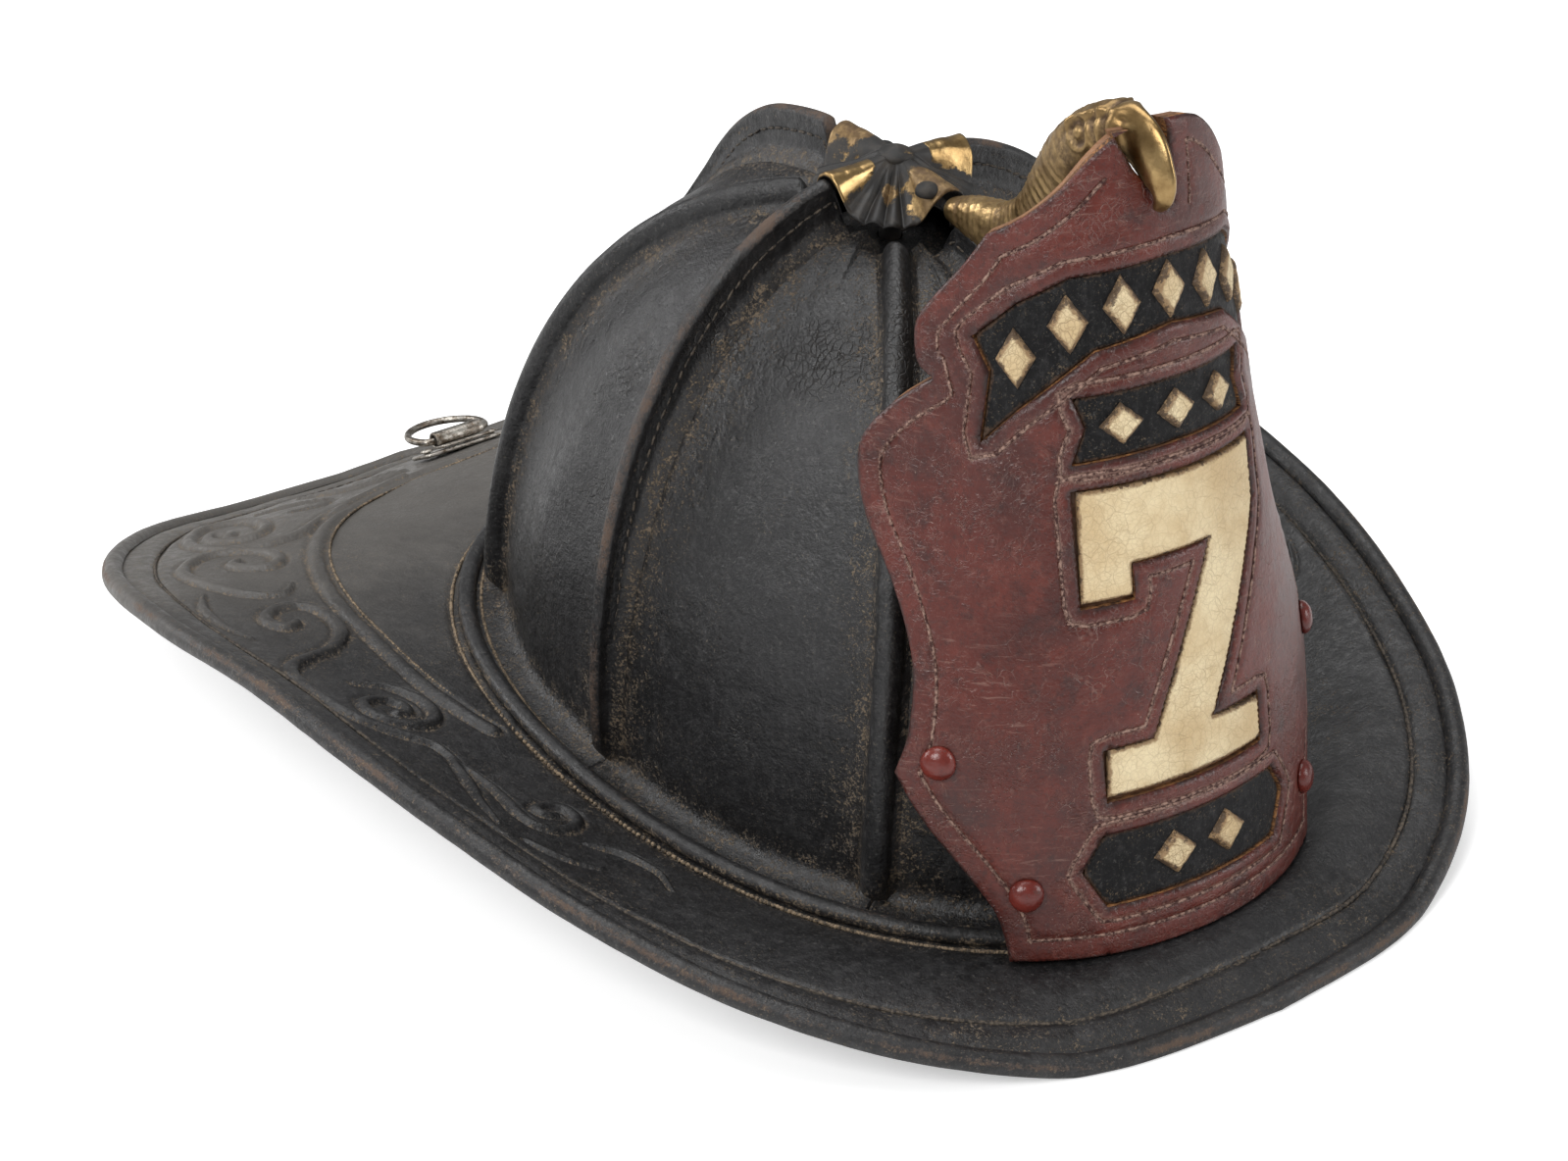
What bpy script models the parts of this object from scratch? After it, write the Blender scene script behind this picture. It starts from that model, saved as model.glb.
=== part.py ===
"""Leather fire helmet: ribbed crown, long rear brim, riveted front shield and brass holder.

Metres, +Z up. The front faces -Y, and the origin is on the floor under the middle of the brim.
"""

import functools
import math

import bmesh
import bpy
from mathutils import Matrix, Vector

# Clearances shared by all pieces
SEAT_GAP = 0.0003
RUNNING_GAP = 0.0005

# Brim outline, measured from a point under the crown
BRIM_FRONT_REACH = 0.1758
BRIM_REAR_REACH = 0.2268
BRIM_HALF_WIDTH = 0.1560
BRIM_SIDE_RISE = 0.0524
BRIM_THICKNESS = 0.0035
BRIM_EDGE_THICKNESS = 0.0020
BRIM_FRONT_CROWNING = 0.006
BRIM_SIDE_DISH = 0.003
BRIM_REAR_CROWNING = 0.007
BRIM_CENTRE_Y = -0.0235
BRIM_TURNS = 56

# Rolled edge of the brim and the wire inside it
ROLL_RADIUS = 0.0030
ROLL_WALL = 0.0014
ROLL_HEIGHT = 0.0019
WIRE_RADIUS = 0.0011

# Crown
CROWN_HALF_WIDTH = 0.081
CROWN_FRONT_HALF = 0.116
CROWN_REAR_HALF = 0.113
CROWN_HEIGHT = 0.140
CROWN_TILT_DEG = 7.4
CROWN_CENTRE_Y = -0.0325
CROWN_BASE_HEIGHT = 0.0235
CROWN_THICKNESS = 0.003
CROWN_FLARE = 0.006
FLARE_LEDGE = 0.001
PANEL_PILLOW = 0.0015
CROWN_EYE_RADIUS = 0.013
COMB_COUNT = 8

# Combs
COMB_FOOT = 0.011
FIN_HEIGHT = 0.0175
FRONT_FIN_HEIGHT = 0.0120
FIN_FOOT_HEIGHT = 0.004
FIN_THICKNESS = 0.0042
BEAD_COMB_HEIGHT = 0.0078
BEAD_COMB_FOOT_HEIGHT = 0.0070

# Welt round the foot of the crown
WELT_RADIUS = 0.0026
WELT_STANDOFF = 0.011

# Front shield
SHIELD_HALF_WIDTH = 0.0812
SHIELD_HEIGHT = 0.2072
SHIELD_RADIUS = 0.082
SHIELD_LEAN_DEG = 6.8
SHIELD_WING_DEG = 60.0
SHIELD_STANDOFF = 0.027
SHIELD_LEAF = 0.0024
SHIELD_BACKING = 0.0025
PANEL_LEAF = 0.0010
INLAY_PROUD = 0.0004
RIVET_HEAD_RADIUS = 0.0044
RIVET_HEAD_HEIGHT = 0.0026
RIVET_SHANK_RADIUS = 0.0013
RIVET_BURR_RADIUS = 0.0028
RIVET_BURR = 0.0009
SHIELD_SLICE = 0.0125

# Brass leaf on the crown and the eagle that holds the shield
LEAF_RADIUS = 0.0225
LEAF_THICKNESS = 0.0016
LEAF_DROOP = 0.007
LEAF_RIDGE = 0.0026
LEAF_SEAT_DROP = 0.0037
LEAF_FLUTE = 0.0009
HEAD_WIDTH = 0.015
HEAD_DEPTH = 0.013
EAGLE_TURN_DEG = 2.9
STUD_RADIUS = 0.0028
STUD_HEAD_RADIUS = 0.0048
STUD_HEAD_HEIGHT = 0.003
NUT_RADIUS = 0.0065
NUT_HEIGHT = 0.0035
CAP_RADIUS = 0.017
CAP_THICKNESS = 0.003

# Ring for hanging the helmet up, with its plate on the rear brim
PLATE_LENGTH = 0.030
PLATE_WIDTH = 0.012
PLATE_THICKNESS = 0.0012
PLATE_SETBACK = 0.037
CLIP_LENGTH = 0.017
CLIP_WALL = 0.0011
RING_WIRE_RADIUS = 0.00115
RING_RADIUS = 0.0122
RING_BAR_HALF = 0.0105
RING_SLOPE_DEG = 10.0
HANGER_RIVET_RADIUS = 0.0021
HANGER_RIVET_HEIGHT = 0.0012

# Inside
SWEATBAND_SIDE_GAP = 0.010
SWEATBAND_FRONT_GAP = 0.0155
SWEATBAND_REAR_GAP = 0.0125
SWEATBAND_HEIGHT = 0.034
SWEATBAND_THICKNESS = 0.0018
PAD_HEIGHT = 0.020
LINER_HEIGHT = 0.112
LINER_THICKNESS = 0.0015
LINER_EYE_RADIUS = 0.024
LINER_FOLD = 0.0018
LACE_RADIUS = 0.0011

# Shapes without a size
DOME_EXPONENT = 2.3
PLAN_EXPONENT = 2.15
STATION_SHARES = (0.0, 0.012, 0.07, 0.17, 0.29, 0.42, 0.55, 0.68, 0.79, 0.87)
COMB_END_SHARE = 0.42
MAIN_COMB_TOP_SHARE = 0.905
MINOR_COMB_TOP_SHARE = 0.84

# Brim edge from front to rear: width, reach and rise as shares of the brim's own sizes
BRIM_EDGE_SHARES = (
    (0.000, -1.000, 0.00), (0.295, -0.970, 0.00), (0.560, -0.856, 0.18), (0.755, -0.667, 0.39),
    (0.874, -0.444, 0.60), (0.943, -0.222, 0.79), (0.981, 0.000, 0.92), (1.000, 0.190, 1.00),
    (1.000, 0.405, 0.94), (0.918, 0.643, 0.73), (0.698, 0.850, 0.40), (0.370, 0.968, 0.10),
    (0.000, 1.000, 0.00),
)

REST_SHARE = 0.027

# How tightly the shield is bent, from its foot to its top: share of its height and of its foot's radius
SHIELD_BEND_SHARES = ((0.00, 1.00), (0.28, 1.00), (0.45, 0.78), (0.62, 0.63), (0.74, 0.565), (0.86, 0.48),
                      (1.00, 0.48))

# Right half of the shield outline, as stretches that meet at corners: shares of half width and height
SHIELD_STRETCH_SHARES = (
    ((0.110, 0.990), (0.170, 0.982), (0.245, 0.962), (0.335, 0.931), (0.440, 0.904), (0.555, 0.884)),
    ((0.555, 0.884), (0.605, 0.860), (0.640, 0.845), (0.720, 0.815), (0.790, 0.782), (0.797, 0.738),
     (0.753, 0.718)),
    ((0.753, 0.718), (0.890, 0.685), (1.000, 0.636), (1.000, 0.562), (0.925, 0.474), (0.884, 0.388),
     (0.912, 0.310), (0.968, 0.258)),
    ((0.968, 0.258), (0.895, 0.199), (0.765, 0.122), (0.690, 0.068), (0.665, 0.010)),
    ((0.665, 0.010), (0.350, 0.000), (0.000, -0.002)),
)
NOTCH_SHARES = ((-0.165, 0.990), (-0.128, 0.950), (-0.113, 0.900), (-0.050, 0.888), (0.022, 0.900),
                (0.022, 0.985), (0.012, 0.994))
TOP_WINDOW_SHARES = ((0.00, 0.838), (0.32, 0.834), (0.62, 0.768), (0.62, 0.645), (0.26, 0.743), (0.00, 0.757))
MIDDLE_WINDOW_SHARES = ((0.00, 0.692), (0.340, 0.692), (0.308, 0.656), (0.355, 0.613), (0.00, 0.613))
LOWER_WINDOW_SHARES = ((0.00, 0.155), (0.350, 0.155), (0.425, 0.113), (0.350, 0.062), (0.00, 0.062))
NUMERAL_SHARES = (
    (-0.365, 0.583), (0.365, 0.583), (0.365, 0.500), (0.075, 0.263), (0.300, 0.263), (0.300, 0.196),
    (-0.330, 0.196), (-0.330, 0.263), (-0.160, 0.263), (0.095, 0.484), (-0.190, 0.484), (-0.190, 0.440),
    (-0.365, 0.440),
)
RIVET_SHARES = ((0.828, 0.272), (0.600, 0.097))

# Lozenges: window, how many, spacing as a share of the half width, half height as a share of the height
LOZENGE_ROWS = (("top", 7, 0.165, 0.034), ("middle", 3, 0.19, 0.024), ("lower", 2, 0.21, 0.027))
LOZENGE_WIDTH_SHARE = 0.36

# Sections of the combs from the top down: half width and height
BLADE_SHARES = ((0.80, 0.86), (1.00, 0.22))
BEAD_SHARES = ((0.60, 0.82), (0.92, 0.42))

# Eagle from its root to the beak tip: distance out, height, depth and width of each section, as shares of
# the distance to the shield's face, of the shield's height over the root, and of the head's depth and width
EAGLE_SECTION_SHARES = (
    (0.000, 0.000, 0.40, 0.50), (0.130, 0.035, 0.66, 0.60), (0.300, 0.070, 0.85, 0.66),
    (0.420, 0.210, 0.92, 0.72), (0.510, 0.430, 0.98, 0.84), (0.595, 0.640, 1.00, 0.96),
    (0.695, 0.790, 0.98, 0.98), (0.800, 0.880, 0.92, 0.80), (0.890, 0.900, 0.88, 0.56),
    (0.965, 0.830, 0.84, 0.47), (1.015, 0.700, 0.68, 0.41), (1.025, 0.600, 0.44, 0.34),
    (1.000, 0.520, 0.20, 0.22),
)
EAGLE_TIP_SHARE = 0.897

# Brass leaf and roundness of the eagle
FAN_SHORTENING_SHARE = 0.12
FAN_DROOP_EXPONENT = 1.6
FLUTES = 24
EAGLE_EXPONENT = 0.85

# Combs' growth, hanger and lining
COMB_GROWTH_EXPONENT = 0.8
REAR_FIN_SHARES = (0.50, 0.80)
PLATE_BOW_SHARE = 0.03
WELD_SHARE = 0.01
SHOULDER_SHARE = 0.75
LOBE_EXPONENT = 0.7
LOBE_NOTCH_SHARE = 4.0

FOOT_PROBES = 8
BRIM_ROW_SHARES = (0.0, 0.20, 0.46, 0.70, 0.93, 1.0)
SHELL_COLUMNS = 6
RING_SIDES = 7
LACE_SIDES = 5
LINING_TURNS = 40
LEAF_TURNS = 48
LEAF_RINGS = 3


def material(name, colour, roughness, metallic=0.0):
    made = bpy.data.materials.new(name)
    made.use_nodes = True
    shader = made.node_tree.nodes["Principled BSDF"]
    shader.inputs["Base Color"].default_value = (*colour, 1.0)
    shader.inputs["Roughness"].default_value = roughness
    shader.inputs["Metallic"].default_value = metallic
    return made


def make_object(name, bm, finish, smooth=True):
    """Put a finished mesh in the scene, with faces pointing out."""
    bmesh.ops.recalc_face_normals(bm, faces=bm.faces)
    mesh = bpy.data.meshes.new(name)
    bm.to_mesh(mesh)
    bm.free()
    if smooth:
        mesh.shade_smooth()
        mesh.set_sharp_from_angle(angle=math.radians(40))
    mesh.materials.append(finish)
    made = bpy.data.objects.new(name, mesh)
    bpy.context.collection.objects.link(made)
    return made


def power(value, exponent):
    return math.copysign(abs(value) ** exponent, value)


def spline(points, share):
    """Smooth curve through points at a share of the way along them."""
    spans = len(points) - 1
    index = min(int(share * spans), spans - 1)
    t = share * spans - index
    before = points[index - 1] if index else points[0]
    start = points[index]
    end = points[index + 1]
    after = points[index + 2] if index + 2 <= spans else points[spans]
    result = []
    for p0, p1, p2, p3 in zip(before, start, end, after):
        slope = (p2 - p0) / 2
        next_slope = (p3 - p1) / 2
        turn = 3 * (p2 - p1) - 2 * slope - next_slope
        settle = 2 * (p1 - p2) + slope + next_slope
        result.append(p1 + t * (slope + t * (turn + t * settle)))
    return result


def loft(name, rings, finish, closed=False):
    """Skin over rings of equal length, joined end to end when closed."""
    bm = bmesh.new()
    rows = [[bm.verts.new(point) for point in ring] for ring in rings]
    pairs = list(zip(rows, rows[1:]))
    if closed:
        pairs.append((rows[-1], rows[0]))
    for row, following in pairs:
        count = len(row)
        for i in range(count):
            bm.faces.new((row[i], row[(i + 1) % count], following[(i + 1) % count], following[i]))
    if not closed:
        bm.faces.new(list(reversed(rows[0])))
        bm.faces.new(rows[-1])
    return make_object(name, bm, finish)


def shell(name, outer, inner, finish, wrapped=False):
    """Closed sheet between two grids of points, which may wrap round in their columns."""
    bm = bmesh.new()
    skins = [[[bm.verts.new(point) for point in row] for row in grid] for grid in (outer, inner)]
    rows = len(outer)
    columns = len(outer[0])
    spans = columns if wrapped else columns - 1
    for skin in skins:
        for i in range(rows - 1):
            for j in range(spans):
                k = (j + 1) % columns
                bm.faces.new((skin[i][j], skin[i][k], skin[i + 1][k], skin[i + 1][j]))
    top, bottom = skins
    for i in (0, rows - 1):
        for j in range(spans):
            k = (j + 1) % columns
            bm.faces.new((top[i][j], top[i][k], bottom[i][k], bottom[i][j]))
    if not wrapped:
        for j in (0, columns - 1):
            for i in range(rows - 1):
                bm.faces.new((top[i][j], top[i + 1][j], bottom[i + 1][j], bottom[i][j]))
    return make_object(name, bm, finish)


def turned(name, profile, place, finish, sides=12):
    """Solid of revolution about local Z from (radius, height) points; the ends lie on the axis."""
    bm = bmesh.new()
    ends = [bm.verts.new((0, 0, profile[0][1])), bm.verts.new((0, 0, profile[-1][1]))]
    rings = []
    for radius, height in profile[1:-1]:
        angles = [2 * math.pi * i / sides for i in range(sides)]
        rings.append([bm.verts.new((radius * math.cos(a), radius * math.sin(a), height)) for a in angles])
    for ring, following in zip(rings, rings[1:]):
        for i in range(sides):
            k = (i + 1) % sides
            bm.faces.new((ring[i], ring[k], following[k], following[i]))
    for end, ring in zip(ends, (rings[0], rings[-1])):
        for i in range(sides):
            bm.faces.new((end, ring[i], ring[(i + 1) % sides]))
    made = make_object(name, bm, finish)
    made.matrix_world = place
    return made


def fill_outline(loops):
    """Flat triangles inside the first loop and outside the others, cut in slices for bending."""
    bm = bmesh.new()
    for loop in loops:
        verts = [bm.verts.new((x, y, 0)) for x, y in loop]
        for i, vert in enumerate(verts):
            bm.edges.new((vert, verts[(i + 1) % len(verts)]))
    bmesh.ops.triangle_fill(bm, edges=bm.edges, use_beauty=True)
    reach = max(abs(x) for x, y in loops[0])
    slices = int(reach / SHIELD_SLICE)
    for i in range(-slices, slices + 1):
        geometry = bm.verts[:] + bm.edges[:] + bm.faces[:]
        bmesh.ops.bisect_plane(bm, geom=geometry, plane_co=(i * SHIELD_SLICE, 0, 0), plane_no=(1, 0, 0))
    for share, bend in SHIELD_BEND_SHARES[1:-1]:
        geometry = bm.verts[:] + bm.edges[:] + bm.faces[:]
        level = share * SHIELD_HEIGHT
        bmesh.ops.bisect_plane(bm, geom=geometry, plane_co=(0, level, 0), plane_no=(0, 1, 0))
    bmesh.ops.triangulate(bm, faces=bm.faces)
    return bm


def bent_sheet(name, loops, front, back, finish, patches=()):
    """Sheet cut to flat loops, then curved and leant like the shield, between two depths.

    Patches are holes of the loops that are filled again, so two sheets can share one set of facets.
    """
    flat = fill_outline(loops)
    for patch in patches:
        piece = fill_outline([patch])
        joint = bpy.data.meshes.new(name)
        piece.to_mesh(joint)
        piece.free()
        flat.from_mesh(joint)
        bpy.data.meshes.remove(joint)
    bmesh.ops.remove_doubles(flat, verts=flat.verts, dist=SEAT_GAP * WELD_SHARE)
    flat.verts.index_update()
    bm = bmesh.new()
    faces = {}
    for depth in (front, back):
        for vert in flat.verts:
            faces[vert.index, depth] = bm.verts.new(shield_point(vert.co.x, vert.co.y, depth))
    for face in flat.faces:
        for depth in (front, back):
            bm.faces.new([faces[vert.index, depth] for vert in face.verts])
    for edge in flat.edges:
        if edge.is_boundary:
            a, b = (vert.index for vert in edge.verts)
            bm.faces.new((faces[a, front], faces[b, front], faces[b, back], faces[a, back]))
    flat.free()
    return make_object(name, bm, finish, smooth=False)


def crown_place(x, y, height):
    """Crown coordinates, square to its own base, in the helmet's frame."""
    tilt = math.radians(CROWN_TILT_DEG)
    forward = y * math.cos(tilt) - height * math.sin(tilt)
    up = y * math.sin(tilt) + height * math.cos(tilt)
    return Vector((x, CROWN_CENTRE_Y + forward, CROWN_BASE_HEIGHT + up))


def crown_direction(x, y, height):
    return crown_place(x, y, height) - crown_place(0, 0, 0)


def dome_point(angle, share, proud=0.0):
    """Point on the crown: angle from the front, share of the way up, height off the surface."""
    half_length = CROWN_FRONT_HALF if math.cos(angle) > 0 else CROWN_REAR_HALF
    spread = math.cos(math.pi * share / 2) ** (2 / DOME_EXPONENT)
    level = math.sin(math.pi * share / 2) ** (2 / DOME_EXPONENT)
    across = -power(math.sin(angle), 2 / PLAN_EXPONENT) * spread
    along = -power(math.cos(angle), 2 / PLAN_EXPONENT) * spread
    ring = (abs(across) ** PLAN_EXPONENT + abs(along) ** PLAN_EXPONENT) ** (DOME_EXPONENT / PLAN_EXPONENT - 1)
    normal = Vector((
        ring * power(across, PLAN_EXPONENT - 1) / CROWN_HALF_WIDTH,
        ring * power(along, PLAN_EXPONENT - 1) / half_length,
        level ** (DOME_EXPONENT - 1) / CROWN_HEIGHT,
    )).normalized()
    local = Vector((across * CROWN_HALF_WIDTH, along * half_length, level * CROWN_HEIGHT)) + normal * proud
    return crown_place(*local)


def angle_for(distance, angle, share):
    """Turn about the crown that moves a surface point by a distance."""
    probe = math.radians(1)
    moved = dome_point(angle + probe, share) - dome_point(angle - probe, share)
    return distance * 2 * probe / moved.length


def comb_half_width(angle, share):
    room = 2 * math.pi / COMB_COUNT / angle_for(1.0, angle, share)
    return min(COMB_FOOT / 2, room * COMB_END_SHARE)


@functools.cache
def edge_point(angle):
    """Centre line of the brim's rolled edge."""
    side = -1 if math.sin(angle) > 0 else 1
    folded = math.acos(max(-1.0, min(1.0, math.cos(angle))))
    width, reach, rise = spline(BRIM_EDGE_SHARES, folded / math.pi)
    length = BRIM_FRONT_REACH if reach < 0 else BRIM_REAR_REACH
    height = ROLL_HEIGHT + BRIM_SIDE_RISE * max(rise - REST_SHARE, 0.0)
    return Vector((side * width * BRIM_HALF_WIDTH, BRIM_CENTRE_Y + reach * length, height))


def brim_foot(angle, proud):
    """Point on the brim's top under the crown, at a distance outside the crown's wall."""
    base = dome_point(angle, 0.0, proud)
    return base - crown_direction(0, 0, SEAT_GAP)


@functools.cache
def brim_frame(angle):
    """Outer end of the leather, with the outward and upward directions there."""
    edge = edge_point(angle)
    foot = brim_foot(angle, CROWN_FLARE + FLARE_LEDGE)
    outward = (edge - foot).normalized()
    step = math.radians(1)
    along = (edge_point(angle + step) - edge_point(angle - step)).normalized()
    upward = along.cross(outward).normalized()
    if upward.z < 0:
        upward = -upward
    outward = (outward - along * outward.dot(along)).normalized()
    return edge, outward, upward


def brim_crowning(angle):
    rear = (BRIM_REAR_CROWNING - BRIM_FRONT_CROWNING) / 2
    middle = (BRIM_REAR_CROWNING + BRIM_FRONT_CROWNING) / 2
    ripple = (middle + BRIM_SIDE_DISH) / 2
    return middle - ripple - rear * math.cos(angle) + ripple * math.cos(2 * angle)


def brim_top(angle, share):
    """Top of the brim, from the crown's flare at 0 to the rolled edge at 1."""
    edge, outward, upward = brim_frame(angle)
    end = edge - outward * (WIRE_RADIUS + 2 * SEAT_GAP) + upward * BRIM_EDGE_THICKNESS / 2
    foot = brim_foot(angle, CROWN_FLARE + FLARE_LEDGE)
    point = foot.lerp(end, share)
    point.z += brim_crowning(angle) * (4 * share * (1 - share)) ** 2
    return point


@functools.cache
def brim_spot(x, y):
    """Angle and share of the brim's top over a plan position."""
    def miss(angle):
        start = brim_top(angle, 0.0)
        way = brim_top(angle, 1.0) - start
        return (x - start.x) * way.y - (y - start.y) * way.x

    centre = math.atan2(-x, -(y - BRIM_CENTRE_Y))
    low = centre - math.pi / 4
    high = centre + math.pi / 4
    side = miss(low)
    for step in range(24):
        middle = (low + high) / 2
        if side * miss(middle) > 0:
            low = middle
        else:
            high = middle
    start = brim_top(low, 0.0)
    way = brim_top(low, 1.0) - start
    share = ((x - start.x) * way.x + (y - start.y) * way.y) / (way.x ** 2 + way.y ** 2)
    return low, share


def brim_height(x, y):
    return brim_top(*brim_spot(x, y)).z


@functools.cache
def shield_radius(up):
    """Radius that the shield is bent to at a distance up from its foot."""
    share = max(0.0, min(1.0, up / SHIELD_HEIGHT))
    for (low, start), (high, end) in zip(SHIELD_BEND_SHARES, SHIELD_BEND_SHARES[1:]):
        if share <= high:
            return SHIELD_RADIUS * (start + (end - start) * (share - low) / (high - low))
    return SHIELD_RADIUS * SHIELD_BEND_SHARES[-1][1]


def shield_foot_y():
    return CROWN_CENTRE_Y - CROWN_FRONT_HALF - SHIELD_STANDOFF


def shield_bend(across, up, depth):
    """Plan position on the bent shield: across, and inward from the middle of its front."""
    radius = shield_radius(up)
    wing = math.radians(SHIELD_WING_DEG)
    turn = max(-wing, min(wing, across / radius))
    straight = abs(across - turn * radius)
    x = (radius + depth) * math.sin(turn) + math.copysign(straight * math.cos(wing), turn)
    inward = radius - (radius + depth) * math.cos(turn) + straight * math.sin(wing)
    return x, inward


def shield_point(across, up, depth):
    """Point of the shield: arc distance, distance up from its foot, and depth off its front face."""
    lean = math.radians(SHIELD_LEAN_DEG)
    x, inward = shield_bend(across, up, depth)
    rising = Vector((0, math.sin(lean), math.cos(lean)))
    backward = Vector((0, math.cos(lean), -math.sin(lean)))
    foot = Vector((x, shield_foot_y(), shield_foot_height()))
    return foot + rising * up + backward * inward


@functools.cache
def shield_foot_height():
    """Height at which the bottom edge of the shield and its backing clear the brim."""
    lean = math.radians(SHIELD_LEAN_DEG)
    need = 0.0
    for i in range(-FOOT_PROBES, FOOT_PROBES + 1):
        width, rise = spline(SHIELD_STRETCH_SHARES[-1], 1 - abs(i) / FOOT_PROBES)
        across = math.copysign(width * SHIELD_HALF_WIDTH, i)
        up = rise * SHIELD_HEIGHT
        for depth in (0.0, -SHIELD_LEAF - SEAT_GAP - SHIELD_BACKING):
            x, inward = shield_bend(across, up, depth)
            y = shield_foot_y() + inward * math.cos(lean) + up * math.sin(lean)
            edge = inward * math.sin(lean) - up * math.cos(lean)
            need = max(need, brim_height(x, y) + edge)
    return need + SEAT_GAP


@functools.cache
def welt_share(angle):
    """Share of the way down the brim's top at which the welt lies."""
    run = brim_top(angle, 1.0) - brim_top(angle, 0.0)
    return (WELT_STANDOFF - CROWN_FLARE) / run.length


def brim_parts(leather, steel):
    """Brim leather, its rolled edge and the wire that the edge is rolled round."""
    angles = [2 * math.pi * i / BRIM_TURNS for i in range(BRIM_TURNS)]
    top = [[brim_foot(a, -2 * CROWN_THICKNESS) for a in angles]]
    bottom = [[brim_foot(a, -2 * CROWN_THICKNESS) - Vector((0, 0, BRIM_THICKNESS)) for a in angles]]
    levels = [[0.0 for a in angles]]
    levels += [[welt_share(a) + (1 - welt_share(a)) * level for a in angles] for level in BRIM_ROW_SHARES]
    for shares in levels:
        top.append([brim_top(a, share) for a, share in zip(angles, shares)])
        row = []
        for a, share, point in zip(angles, shares, top[-1]):
            thickness = BRIM_THICKNESS + (BRIM_EDGE_THICKNESS - BRIM_THICKNESS) * share
            row.append(point - brim_frame(a)[2] * thickness)
        bottom.append(row)
    shell("brim", top, bottom, leather, wrapped=True)

    rings = []
    wire = []
    jaw = BRIM_EDGE_THICKNESS / 2 + SEAT_GAP
    for a in angles:
        edge, outward, upward = brim_frame(a)
        ring = roll_section(edge, outward, upward, jaw)
        rings.append(ring)
        wire.append([edge + (outward * math.cos(t) + upward * math.sin(t)) * WIRE_RADIUS
                     for t in [2 * math.pi * i / 6 for i in range(6)]])
    loft("brim_edge_roll", rings, leather, closed=True)
    loft("brim_wire", wire, steel, closed=True)


def roll_section(edge, outward, upward, jaw):
    """C-shaped section of the rolled edge, open towards the brim and cut flat where it rests."""
    bore = ROLL_RADIUS - ROLL_WALL
    section = []
    for radius, count, sign in ((ROLL_RADIUS, 8, 1), (bore, 4, -1)):
        lip = math.asin(jaw / radius)
        sweep = math.pi - lip
        for i in range(count):
            turn = sign * sweep * (2 * i / (count - 1) - 1)
            point = edge + (outward * math.cos(turn) + upward * math.sin(turn)) * radius
            point.z = max(point.z, 0.0)
            section.append(point)
    return section


def crown_panels(leather):
    """Eight gores of the crown, thin and flared out at the foot."""
    stations = list(STATION_SHARES)
    eye = math.acos((CROWN_EYE_RADIUS / CROWN_HALF_WIDTH) ** (DOME_EXPONENT / 2)) * 2 / math.pi
    stations.append(eye)
    turn = 2 * math.pi / COMB_COUNT
    for k in range(COMB_COUNT):
        outer = []
        inner = []
        for row, share in enumerate(stations):
            flare = CROWN_FLARE if row == 0 else 0.0
            outer_row = []
            inner_row = []
            start = k * turn
            end = start + turn
            gap_start = start + angle_for(SEAT_GAP / 2, start + turn / SHELL_COLUMNS, share)
            gap_end = end - angle_for(SEAT_GAP / 2, end - turn / SHELL_COLUMNS, share)
            foot_start = start + angle_for(comb_half_width(start, share), start, share)
            foot_end = end - angle_for(comb_half_width(end, share), end, share)
            columns = [(gap_start, 0.0)]
            for i in range(SHELL_COLUMNS - 1):
                across = i / (SHELL_COLUMNS - 2)
                pillow = PANEL_PILLOW * math.sin(math.pi * across) ** 2
                columns.append((foot_start + (foot_end - foot_start) * across, pillow))
            columns.append((gap_end, 0.0))
            for angle, pillow in columns:
                outer_row.append(dome_point(angle, share, flare + pillow))
                inner_row.append(dome_point(angle, share, flare + pillow - CROWN_THICKNESS))
            outer.append(outer_row)
            inner.append(inner_row)
        shell(f"crown_panel_{k + 1}", outer, inner, leather)


def comb_section(angle, share, height, blade):
    """Section of a comb: a tall blade with a spread foot, or a round bead when blade is zero."""
    half = comb_half_width(angle, share)
    foot = half - SEAT_GAP
    shares = BLADE_SHARES if blade else BEAD_SHARES
    right = [(width * (blade or foot), lift) for width, lift in shares]
    left = [(-width, lift) for width, lift in reversed(right)]
    outline = [(-foot, 0.0), *left, (0.0, 1.0), *right, (foot, 0.0)]
    base = dome_point(angle, share)
    normal = (dome_point(angle, share, COMB_FOOT) - base).normalized()
    step = angle_for(half, angle, share)
    across = (dome_point(angle + step, share) - dome_point(angle - step, share)).normalized()
    return [base + across * x + normal * (SEAT_GAP + lift * height) for x, lift in outline]


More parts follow.
